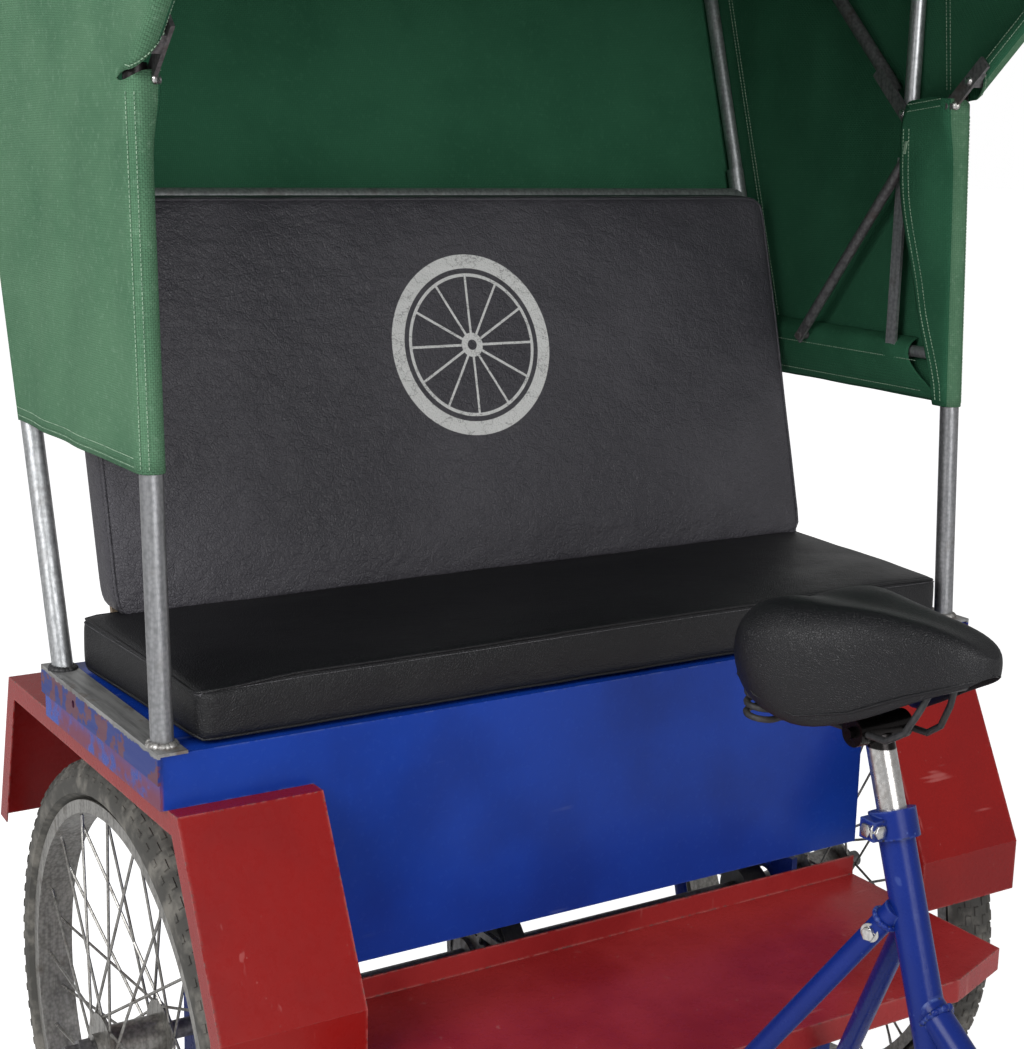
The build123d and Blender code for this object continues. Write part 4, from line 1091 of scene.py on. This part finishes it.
def stamped(name, model, places, finish, body="chassis", angle=40):
    points, faces = [], []
    shape = [vertex.co.copy() for vertex in model.data.vertices]
    outline = [tuple(face.vertices) for face in model.data.polygons]
    for matrix in places:
        start = len(points)
        points.extend(matrix @ co for co in shape)
        faces.extend(tuple(start + n for n in face) for face in outline)
    mesh = bpy.data.meshes.new(name)
    mesh.from_pydata(points, [], faces)
    mesh.materials.append(finish)
    made = bpy.data.objects.new(name, mesh)
    bpy.context.scene.collection.objects.link(made)
    smooth(made, angle)
    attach(made, body)
    print(name, len(places), "copies,", len(faces), "faces")
    return made


def put_away(model):
    bpy.data.objects.remove(model)


def shaped(kind, scale, turn=(0, 0, 0), **settings):
    """A primitive at its size, on the origin, with its scale in its mesh."""
    bpy.ops.object.select_all(action="DESELECT")
    getattr(bpy.ops.mesh, "primitive_" + kind + "_add")(rotation=turn, **settings)
    made = bpy.context.object
    made.scale = scale
    bpy.ops.object.transform_apply(location=True, rotation=True, scale=True)
    return made


def walk(path, gap):
    """Places, directions and which leg, every gap along a line of points."""
    left = gap / 2
    for n, (a, b) in enumerate(zip(path, path[1:])):
        run = (b - a).length
        while left < run:
            yield a + (b - a) * (left / run), (b - a).normalized(), n + left / run
            left += gap
        left -= run


# %% [markdown]
# The hood is sewn with pale thread, two rows at a time. A stitch is a short bar with tapered ends,
# half sunk in the cloth, with a gap of a couple of millimetres to the next.

# %% Thread and the stitch


def thread_finish(name, light, deep):
    f = Finish(name, Roughness=0.7)
    shade = f.mix(f.step(f.grain(8), 0.4, 0.65), light, deep)
    return f.wear(Base_Color=shade, Normal=f.bump(f.grain(0.8, 2.0), 0.1))


thread = thread_finish("pale thread", (0.26, 0.38, 0.27, 1), (0.15, 0.25, 0.17, 1))
grey_thread = thread_finish("grey thread", (0.085, 0.083, 0.09, 1), (0.04, 0.04, 0.043, 1))
LYING = (0, math.pi / 2, 0)
FULL = (1, 1, 1)
stitch = shaped("cylinder", FULL, LYING, vertices=5, radius=0.0005, depth=0.0026, end_fill_type="TRIFAN")
for vertex in stitch.data.vertices:
    if math.hypot(vertex.co.y, vertex.co.z) < 0.0001:
        vertex.co.x *= 1.25
        vertex.co.z -= 0.0004

# %% [markdown]
# The rows follow the sheet: two run down each post sleeve, two round the hem, two along the visor's
# sleeve, one round its slanted end, and two hold the inner facing.

# %% Rows of stitches on the hood
STITCH_GAP = 0.0042
PROUD = 1.1
rows = []


def row(points, outs):
    """Add one row given as places in millimetres and the surface's direction at each."""
    path = [spot(*p) for p in points]
    for place, along, leg in walk(path, STITCH_GAP):
        n = min(int(leg), len(outs) - 2)
        out = Vector(outs[n]).lerp(Vector(outs[n + 1]), leg - n)
        rows.append(turned(place, along, out))


def mirror_row(points, outs):
    row(points, outs)
    row([(-x, y, z) for x, y, z in points], [(-x, y, z) for x, y, z in outs])


for angle in (28, 63):
    a = math.radians(angle)
    levels = [HEM_Z + 4 + (SLEEVE_TOP - HEM_Z - 10) * n / 12 for n in range(13)]
    reach = POST_WRAP + 1.0
    mirror_row(
        [(SIDE_X + reach * math.cos(a), front_y(z) - reach * math.sin(a), z) for z in levels],
        [(math.cos(a), -math.sin(a), 0)] * 13,
    )
for level in (5, 13):
    z = HEM_Z + level
    stations = [between(front_y(z) + 6, rear_y(z) - 2, n / 24) for n in range(25)]
    mirror_row([(WALL_X + PROUD + fold(y, z), y, z) for y in stations], [(1, 0, 0)] * 25)
    xs = [484 - 968 * n / 40 for n in range(41)]
    rear = rear_y(z) + POST_WRAP * LEAN_COS + PROUD
    row([(x, rear + back_fold(x, z), z - 3.9) for x in xs], [(0, 1, 0)] * 41)
for inset in (6, 15):
    levels = [HEM_Z + 6 + (SLEEVE_TOP - 28 - HEM_Z) * n / 16 for n in range(17)]
    points = []
    for z in levels:
        width = max(facing_width(z) - inset, 2)
        share = width / facing_width(z)
        points.append((SIDE_X - POST_WRAP - tucked_in(share, z) - PROUD, front_y(z) + width, z))
    mirror_row(points, [(-1, 0, 0)] * 17)
for angle in (205, 165):
    column = visor_column(angle)[:-1]
    a = math.radians(angle)
    outs = []
    for n in range(len(column)):
        b = math.pi / 2 * min(max(n - LEG_ROWS, 0), ARC_ROWS) / ARC_ROWS
        outs.append((math.cos(a) * math.cos(b), -math.sin(a) * 0.7, math.cos(a) * math.sin(b) - math.sin(a) * 0.7))
    grown = []
    for (x, y, z), out in zip(column, outs):
        grown.append((x + out[0], y + out[1], z + out[2]))
    mirror_row(grown, outs)
edge_row, outs = [], []
for angle in (0, 30, 60, 90, 120, 150, 180):
    a = math.radians(angle)
    out = (math.cos(a), -math.sin(a), 0)
    lowest, next_up = visor_column(angle)[:2]
    edge_row.append(tuple(between(p, q, 0.16) + o * PROUD for p, q, o in zip(lowest, next_up, out)))
    outs.append(out)
mirror_row(edge_row, outs)
stamped("hood_stitches", stitch, rows, thread)

# %% [markdown]
# The hem of each side wall is turned up inside, over the side rail, and sewn down again, which
# makes a long pocket that keeps the hood from riding up. Its front end is cut on a slant. The strap
# of the middle bow comes out through it.

# %% Rail pockets
RAIL_Z = BOX_TOP + 312
MID_Y = 138
POCKET = [
    # x, height over the rail, from the wall over the rail and down to the hem
    (508.4, 16), (505, 14.2), (500, 12.2), (495, 8.5), (492.2, 2),
    (491.6, -8), (493.5, -22), (498, -36), (503, -46), (507.6, -54),
]
STATIONS = 32
pocket_points, pocket_faces, pocket_uvs = [], [], []
for side in (1, -1):
    start = len(pocket_points)
    for n in range(STATIONS + 1):
        for x, rise in POCKET:
            z = RAIL_Z + rise
            front_end = between(66, 108, ease((rise + 54) / 50))
            y = between(front_end, rear_y(RAIL_Z) - 13, n / STATIONS)
            slack = 1.6 * noise.noise(Vector((y / 40, rise / 30, side * 3.0)))
            strap = 3.2 * math.exp(-(((y - MID_Y) / 16) ** 2)) * ease(1 - abs(rise) / 26)
            bulge = strap + slack if abs(rise) < 40 else 0
            pocket_points.append((side * (x - bulge), y, z + slack))
            pocket_uvs.append((y, rise + x))
    for n in range(STATIONS):
        for m in range(len(POCKET) - 1):
            a = start + n * len(POCKET) + m
            face = (a, a + 1, a + len(POCKET) + 1, a + len(POCKET))
            pocket_faces.append(face if side > 0 else tuple(reversed(face)))
pockets = mesh_piece("rail_pockets", pocket_points, pocket_faces, [canvas_inside_painted_shade])
layer = pockets.data.uv_layers.new(name="cloth")
for loop in pockets.data.loops:
    layer.data[loop.index].uv = pocket_uvs[loop.vertex_index]
apply_modifier(pockets, "SUBSURF", levels=1, render_levels=1)
sheet = pockets.modifiers.new("thickness", "SOLIDIFY")
sheet.thickness = 0.0014
sheet.offset = 0
smooth(pockets, 60)
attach(pockets, "chassis")

rows = []
for x, rise in ((490.0, -9), (501.4, -46)):
    stations = [between(92, 380, n / 20) for n in range(21)]
    mirror_row([(x, y, RAIL_Z + rise) for y in stations], [(-1, 0, -0.2)] * 21)
stamped("pocket_stitches", stitch, rows, thread)

# %% [markdown]
# The cushions' covers are sewn along their edges with the seam allowance turned in, which stands up
# as a thin welt. A welt is a round bar swept along the pad's own edge, found on the swollen mesh so
# that it lies in the seam.

# %% Welts


def welt(name, path, radius, finish, closed=True):
    """A thin round bar through a ring of places, in metres."""
    curve = bpy.data.curves.new(name, "CURVE")
    curve.dimensions = "3D"
    curve.bevel_depth = radius
    curve.bevel_resolution = 2
    spline = curve.splines.new("POLY")
    spline.points.add(len(path) - 1)
    for point, place in zip(spline.points, path):
        point.co = (*place, 1)
    spline.use_cyclic_u = closed
    made = bpy.data.objects.new(name, curve)
    bpy.context.scene.collection.objects.link(made)
    alone(made)
    bpy.ops.object.convert(target="MESH")
    made = bpy.context.object
    made.data.materials.clear()
    made.data.materials.append(finish)
    smooth(made, 60)
    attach(made, "chassis")
    return made


def ring_of(pad, at, size, axis, level, corner, sink, count=160):
    """A rounded rectangle on the pad, each place moved to the nearest part of its surface."""
    a, b = [n for n in range(3) if n != axis]
    half = [s / 2 for s in size]
    places, outline = [], []
    for ca, cb, start in ((1, 1, 0), (-1, 1, 90), (-1, -1, 180), (1, -1, 270)):
        for n in range(7):
            t = math.radians(start + 15 * n)
            out_a = ca * (half[a] - corner) + corner * math.cos(t)
            out_b = cb * (half[b] - corner) + corner * math.sin(t)
            outline.append((out_a, out_b))
    outline.append(outline[0])
    flat = [Vector((p[0], p[1], 0)) for p in outline]
    total = sum((q - p).length for p, q in zip(flat, flat[1:]))
    for place, _, _ in walk(flat, total / count):
        target = [0, 0, 0]
        target[a], target[b], target[axis] = place.x, place.y, level
        _, near, normal, _ = pad.closest_point_on_mesh(at @ Vector(target))
        places.append(near + normal * sink)
    return places


WELT = 0.0017
SUNK = 0.0002
seat_at = Matrix.Translation(SEAT_MIDDLE)
for name, level in (("seat_welt_top", 0.0275 * 1.05), ("seat_welt_low", -0.026 * 1.05)):
    welt(name, ring_of(seat, seat_at, SEAT_SIZE, 2, level, corner=0.012, sink=SUNK), WELT, seat_vinyl)
welt("back_welt", ring_of(back, back_at, BACK_SIZE, 1, -0.0262, corner=0.018, sink=SUNK), WELT, back_vinyl_painted_sheen)

# %% [markdown]
# The rider's saddle is a foam pad on a steel plate, covered in the same leathercloth. Its wide rear
# is raised in two lobes, its nose narrows and drops, and its skirts hang round an open underside.
# It is made from sections across, each a closed loop that goes over the top, round the skirt's edge
# and back under, and subdivision rounds it.

# %% Saddle
SADDLE = [
    # y, half width, top, skirt's edge above the box, dip in the middle
    (-517.0, 8.0, 157.0, 143.0, 0.0),
    (-509.0, 18.0, 165.0, 134.0, 0.0),
    (-488.0, 26.0, 171.0, 122.0, 0.5),
    (-450.0, 34.0, 174.0, 103.0, 1.5),
    (-402.0, 50.0, 174.0, 74.0, 3.0),
    (-360.0, 76.0, 172.0, 59.0, 5.0),
    (-320.0, 93.0, 171.0, 70.0, 7.0),
    (-293.0, 91.0, 165.0, 86.0, 7.0),
    (-276.0, 74.0, 154.0, 100.0, 4.0),
]


def saddle_loop(w, top, low, dip):
    """Half section as (x, height), from the middle of the top to the middle underneath."""
    tall = top - low
    return [
        (0.0, top - dip),
        (w * 0.30, top - dip * 0.35),
        (w * 0.58, top),
        (w * 0.82, top - tall * 0.10),
        (w * 0.97, top - tall * 0.30),
        (w * 1.0, top - tall * 0.58),
        (w * 0.95, top - tall * 0.84),
        (w * 0.87, low),
        (w * 0.80, low + 3),
        (w * 0.78, low + tall * 0.25),
        (w * 0.60, top - tall * 0.42 - 6),
        (0.0, top - tall * 0.36 - 8),
    ]


points, faces = [], []
loops = []
for y, w, top, low, dip in SADDLE:
    half = saddle_loop(w, top, low, dip)
    loop = half + [(-x, h) for x, h in reversed(half[1:-1])]
    loops.append([(x, y, BOX_TOP + h) for x, h in loop])
ring = len(loops[0])
for loop in loops:
    points.extend(loop)
for n in range(len(loops) - 1):
    for m in range(ring):
        a, b = n * ring + m, n * ring + (m + 1) % ring
        faces.append((a, b, b + ring, a + ring))
for first, last in ((0, False), ((len(loops) - 1) * ring, True)):
    for m in range(ring // 2):
        a, b = first + m, first + m + 1
        c, d = first + (ring - m - 1) % ring, first + (ring - m) % ring
        face = [b, a, d, c] if not last else [a, b, c, d]
        face = [v for i, v in enumerate(face) if v not in face[:i]]
        if len(face) > 2:
            faces.append(tuple(face))
saddle = mesh_piece("saddle_pad", points, faces, [saddle_vinyl])
merge(saddle, 0.00001)
apply_modifier(saddle, "SUBSURF", levels=2, render_levels=2)
for vertex in saddle.data.vertices:
    co = vertex.co
    vertex.co.z += 0.0011 * noise.noise(Vector((co.x * 30, co.y * 22, 5.0)))
smooth(saddle, 80)
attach(saddle, "chassis")
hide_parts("saddle")

# %% [markdown]
# A narrow seam runs round the saddle's skirt, where the top cover meets the strip that is glued
# under the plate's edge.

# %% Saddle seam
seam = []
for side in (1, -1):
    edge = []
    for y, w, top, low, _ in SADDLE[1:]:
        target = spot(side * w, y, BOX_TOP + low + (top - low) * 0.12)
        _, near, normal, _ = saddle.closest_point_on_mesh(target)
        edge.append(near + normal * SUNK)
    seam.append(edge if side > 0 else edge[::-1])
front_target = spot(0, -519, BOX_TOP + 143)
near = saddle.closest_point_on_mesh(front_target)[1]
welt("saddle_seam", seam[0] + seam[1] + [near], 0.0011, saddle_vinyl)

# %% [markdown]
# Under the saddle two round steel rails run back from the nose through the post's clamp. Each one
# bows outwards at the rear and ends in a coil spring, which carries the pad's plate.

# %% Saddle rails and coil springs
RAIL_LINE = [
    # x, y, height over the box, from the nose to the coil
    (14, -462, 118), (18, -454, 98), (21, -442, 76), (24, -424, 64),
    (24, -360, 61), (27, -338, 60), (38, -322, 59), (50, -316, 58),
]
RAIL_WIRE = 0.0031
COIL_X, COIL_Y, COIL_LOW, COIL_TALL = 61, -303, 57, 36
COIL_RADIUS, COIL_TURNS, COIL_STEPS, COIL_START = 13, 3.75, 60, -110
coil = []
for n in range(COIL_STEPS + 1):
    a = math.radians(COIL_START + 360 * COIL_TURNS * n / COIL_STEPS)
    across, along = COIL_RADIUS * math.cos(a), COIL_RADIUS * math.sin(a)
    coil.append((COIL_X + across, COIL_Y + along, COIL_LOW + COIL_TALL * n / COIL_STEPS))
rails = []
for side, name in ((-1, "saddle_rail_right"), (1, "saddle_rail_left")):
    places = [spot(side * x, y, BOX_TOP + z) for x, y, z in RAIL_LINE + coil]
    rails.append(welt(name, places, RAIL_WIRE, black_iron, closed=False))
bridge = shaped("cylinder", FULL, LYING, vertices=16, radius=0.008, depth=0.056)
bridge.data.transform(Matrix.Translation(spot(0, -460, BOX_TOP + 120)))
bridge.name = "saddle_nose_bar"
bridge.data.materials.append(black_iron)
smooth(bridge, 40)
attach(bridge, "chassis")
for piece in rails:
    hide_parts("saddle_springs")

# %% [markdown]
# Tyres are modelled as a round section spun about the axle. A tyre bulges over its rim, so the
# lowest part of the section is drawn in between the rim's walls. The tread is rows of small blocks,
# one made and the rest stamped round the crown and both shoulders.

# %% Tyres
AXLE_Z = 302
SECTION_MIDDLE = 0.2722
SECTION_TALL = 0.0262
SECTION_HALF = 0.0255
BEAD_HALF = 0.0145
WHEELS = {
    "tyre_rear_left": ((471, 192), "left_wheel"),
    "tyre_rear_right": ((-471, 192), "driven_axle"),
    "tyre_front": ((0, -1200), "front_wheel"),
}


def tyre_body():
    """A tyre about the X axis at the origin."""
    bpy.ops.object.select_all(action="DESELECT")
    bpy.ops.mesh.primitive_circle_add(vertices=22, radius=1, rotation=(0, math.pi / 2, 0))
    made = bpy.context.object
    bpy.ops.object.transform_apply(location=True, rotation=True, scale=True)
    for vertex in made.data.vertices:
        across, out = vertex.co.y, vertex.co.z
        width = SECTION_HALF if out > -0.35 else BEAD_HALF
        vertex.co = (across * width, 0, SECTION_MIDDLE + out * SECTION_TALL)
    bpy.ops.object.mode_set(mode="EDIT")
    bpy.ops.mesh.select_all(action="SELECT")
    bpy.ops.mesh.spin(steps=96, angle=math.tau, center=(0, 0, 0), axis=(1, 0, 0))
    bpy.ops.mesh.select_all(action="SELECT")
    bpy.ops.mesh.remove_doubles(threshold=0.0001)
    bpy.ops.mesh.normals_make_consistent(inside=False)
    bpy.ops.object.mode_set(mode="OBJECT")
    return made


block = shaped("cube", (0.0078, 0.0062, 0.0022), size=1)
for vertex in block.data.vertices:
    if vertex.co.z > 0:
        vertex.co.x *= 0.82
        vertex.co.y *= 0.78
BLOCKS_ROUND = 84
TREAD = [
    # across, tilt in degrees, shift in blocks, size
    (0.0, 0, 0.0, 1.0), (0.0095, 16, 0.5, 1.0), (-0.0095, -16, 0.5, 1.0),
    (0.0178, 42, 0.0, 1.1), (-0.0178, -42, 0.0, 1.1), (0.0232, 64, 0.5, 0.8), (-0.0232, -64, 0.5, 0.8),
]
tread_places = []
for across, tilt, shift, size in TREAD:
    lean_to = math.radians(tilt)
    rise = SECTION_TALL * math.sqrt(max(1 - (across / SECTION_HALF) ** 2, 0))
    radius = SECTION_MIDDLE + rise + 0.0004
    for n in range(BLOCKS_ROUND):
        a = math.tau * (n + shift) / BLOCKS_ROUND
        out = Vector((math.sin(lean_to), math.cos(lean_to) * math.sin(a), math.cos(lean_to) * math.cos(a)))
        along = Vector((0, math.cos(a), -math.sin(a)))
        place = Vector((across, radius * math.sin(a), radius * math.cos(a)))
        tread_places.append(turned(place, along, out, (size * 1.5, size, size)))
first_tyre = tyre_body()
for name, ((x, y), body) in WHEELS.items():
    hub = spot(x, y, AXLE_Z)
    tyre = first_tyre.copy()
    tyre.data = first_tyre.data.copy()
    tyre.name = "rubber_" + name
    bpy.context.scene.collection.objects.link(tyre)
    tyre.data.transform(Matrix.Translation(hub))
    tyre.data.materials.append(tyre_rubber)
    smooth(tyre, 50)
    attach(tyre, body)
    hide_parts(name)
    blocks = [Matrix.Translation(hub) @ m for m in tread_places]
    stamped("tread_" + name, block, blocks, tyre_rubber, body, angle=30)
put_away(first_tyre)
put_away(block)

# %% [markdown]
# Each of a wheel's thirty-six spokes ends in a plated nipple that stands out of the rim's bed. They
# are small, but their glint round the rim is what makes a wheel look laced.

# %% Spoke nipples
SPOKES = 36
SPOKE_SWEEP = 55
NIPPLE_RADIUS = 0.2425
FLANGE_RADIUS = 0.032
NIPPLE_TAPER = 0.72
nipple = shaped("cylinder", FULL, vertices=8, radius=0.0021, depth=0.012)
for vertex in nipple.data.vertices:
    if vertex.co.z > 0:
        vertex.co.x *= NIPPLE_TAPER
        vertex.co.y *= NIPPLE_TAPER
for name, ((x, y), body) in WHEELS.items():
    hub = spot(x, y, AXLE_Z)
    places = []
    for n in range(SPOKES):
        side = 1 if n % 2 else -1
        sweep = SPOKE_SWEEP if n % 4 < 2 else -SPOKE_SWEEP
        a = math.tau * n / SPOKES
        b = a + math.radians(sweep)
        end = Vector((side * 0.006, NIPPLE_RADIUS * math.cos(a), NIPPLE_RADIUS * math.sin(a)))
        root = Vector((side * 0.032, FLANGE_RADIUS * math.cos(b), FLANGE_RADIUS * math.sin(b)))
        inward = (root - end).normalized()
        places.append(Matrix.Translation(hub) @ turned(end + inward * 0.006, inward.orthogonal(), inward))
    stamped("nipples_" + name, nipple, places, bright_steel, body, 40)
put_away(nipple)

# %% [markdown]
# Bolts, rivets and welds are the last marks a fitter leaves. Each kind is modelled once. A weld
# bead is a row of overlapping drops, laid round the foot of a tube, and where the frame was painted
# afterwards the bead takes the paint.

# %% Fastenings


def beside(x, y, z, out, along=(0, 0, 1)):
    """A place in millimetres for a head that stands out of a surface."""
    if abs(Vector(out).normalized().dot(Vector(along).normalized())) > 0.9:
        along = (0, 1, 0)
    return turned(spot(x, y, z), along, out)


hexagon = shaped("cylinder", FULL, vertices=6, radius=0.0066, depth=0.0052)
apply_modifier(hexagon, "BEVEL", width=0.0006, segments=2)
washer = shaped("cylinder", FULL, vertices=24, radius=0.0088, depth=0.0016)
apply_modifier(washer, "BEVEL", width=0.0004, segments=2)
dome = shaped("uv_sphere", (1, 1, 0.55), segments=16, ring_count=8, radius=0.0055)

LUG = (-25.0, -416.4, 664.0)
STAY_TOP = Vector((12.0, -437.0, 595.0))
STAY_FOOT = Vector((117.0, -219.0, 252.0))
stay_line = (STAY_FOOT - STAY_TOP).normalized()
heads = [
    beside(LUG[0] - 1, LUG[1] - 9.4, LUG[2], (0, -1, 0)),
    beside(LUG[0] - 7.4, LUG[1], LUG[2], (-1, 0, 0)),
]
for side in (-1, 1):
    place = STAY_TOP + stay_line * 31
    out = Vector((1.0, -0.35, 0.1))
    out -= stay_line * out.dot(stay_line)
    out.normalize()
    x, y, z = place + out * 10.6
    heads.append(beside(side * x, y, z, (side * out.x, out.y, out.z)))
stamped("hexagon_heads", hexagon, heads, bright_steel, angle=30)
under_heads = [m @ Matrix.Translation((0, 0, -0.0026)) for m in heads]
stamped("washers", washer, under_heads, bright_steel, angle=30)

strap_run = Vector((VISOR_TOP[0] - PIVOT[0], VISOR_TOP[1] - PIVOT[1])).normalized()
rivets = []
for side in (-1, 1):
    inward = (-side, 0, 0)
    rivets.append(beside(side * 486.4, MID_Y, BOX_TOP + 592, inward))
    rivets.append(beside(side * 482.6, PIVOT[0] + strap_run[0] * 40, PIVOT[1] + strap_run[1] * 40, inward))
    rivets.append(beside(side * 483.6, PIVOT[0] - 9.5, PIVOT[1] + 1, (-side, -0.9, 0)))
stamped("rivets", dome, rivets, bright_steel)

# %% Weld beads
ANGLE_TOP = BOX_TOP + 4
drop = shaped("ico_sphere", (0.0047, 0.0036, 0.0027), subdivisions=2, radius=1)


def bead(centre, axis, radius, count, uneven=0.25):
    """Places for the drops of one bead round a tube."""
    axis = Vector(axis).normalized()
    first = axis.orthogonal().normalized()
    second = axis.cross(first)
    places = []
    for n in range(count):
        a = math.tau * n / count
        out = first * math.cos(a) + second * math.sin(a)
        wander = noise.noise(Vector((n * 1.7, radius, centre[0])))
        middle = spot(*centre) + out * (radius + wander * 0.9) / 1000 + axis * wander * 0.0006
        size = 1 + uneven * wander
        places.append(turned(middle, axis.cross(out), axis + out * 0.8, (size, size, size)))
    return places


bright_beads, dark_beads, painted_beads = [], [], []
for side in (-1, 1):
    bright_beads += bead((side * SIDE_X, 24, ANGLE_TOP), (0, 0, 1), 12.6, 16)
    dark_beads += bead((side * SIDE_X, 298, ANGLE_TOP), (0, 0, 1), 12.6, 16)
    x, y, z = STAY_TOP + stay_line * 15
    painted_beads += bead((side * x, y, z), (side * stay_line.x, stay_line.y, stay_line.z), 10.6, 14)
painted_beads += bead((0, -483.0, 510.2), (0, -0.8215, -0.570), 14.6, 18)
stamped("post_weld_beads", drop, bright_beads, bead_metal)
stamped("rear_weld_beads", drop, dark_beads, black_iron)
stamped("frame_weld_beads", drop, painted_beads, blue)

# %% [markdown]
# Two more double rows of stitches show on the inside of each side wall, one running up from the
# pivot and one beside the rear corner, where panels of the hood are joined. A dense patch of thread
# holds the facing at the stay.

# %% Panel seams
SEAMS = [
    # lowest, highest, steps, where it runs in side view
    (1300, 1600, 20, lambda z: 88 + 0.11 * (z - 1300)),
    (HEM_Z + 62, HEM_Z + 560, 24, lambda z: rear_y(z) - 30),
]
rows = []
for offset in (-3, 3):
    for first, last, count, seam_y in SEAMS:
        levels = [between(first, last, n / count) for n in range(count + 1)]
        mirror_row(
            [(WALL_X + fold(seam_y(z), z) - 1.9, seam_y(z) + offset, z) for z in levels],
            [(-1, 0, 0)] * (count + 1),
        )
for drop_by in (4, 12):
    points = []
    for n in range(9):
        share = 0.05 + 0.8 * n / 8
        y = front_y(SLEEVE_TOP) + FACING_REACH * share
        points.append((SIDE_X - POST_WRAP - STRAP_ROOM - PROUD, y, SLEEVE_TOP + 15 - 9 * share - drop_by))
    mirror_row(points, [(-1, 0, 0)] * 9)
for side in (-1, 1):
    for n in range(11):
        place = spot(side * 472.2, 114 + 0.2 * n, 1240 - 1.35 * n)
        rows.append(turned(place, (0, 1, 0), (-side, 0, 0), (1.5, 1.5, 1.2)))
stamped("seam_stitches", stitch, rows, thread)

# %% [markdown]
# The cushions' covers show their thread too, in a row just behind the front seam of the back
# cushion and just under the top seam of the seat.

# %% Cushion stitches


def beside_seam(pad, at, size, axis, level, corner):
    """Stitches in a ring on a pad, each laid on the cover where it finds it."""
    rows_here = []
    places = ring_of(pad, at, size, axis, level, corner, 0.0, count=640)
    for a, b in zip(places, places[1:] + places[:1]):
        if (b - a).length > 0.0005:
            _, near, normal, _ = pad.closest_point_on_mesh(a)
            rows_here.append(turned(near + normal * SUNK, b - a, normal, (1.05, 0.8, 0.8)))
    return rows_here


rows = beside_seam(back, back_at, BACK_SIZE, 1, level=-0.0205, corner=0.018)
rows += beside_seam(seat, seat_at, SEAT_SIZE, 2, level=0.0225, corner=0.008)
stamped("cushion_stitches", stitch, rows, grey_thread)
for model in (stitch, hexagon, washer, dome, drop):
    put_away(model)

# %% [markdown]
# The last step gathers the two boxes, of the frame and of the dressed vehicle, so that they can be
# compared, and prints the dressed one.

# %% Size and finish
sizes = {"cad_box": CAD_BOX, "visual_box": [list(corner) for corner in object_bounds()]}
print("dressed box", sizes["visual_box"])
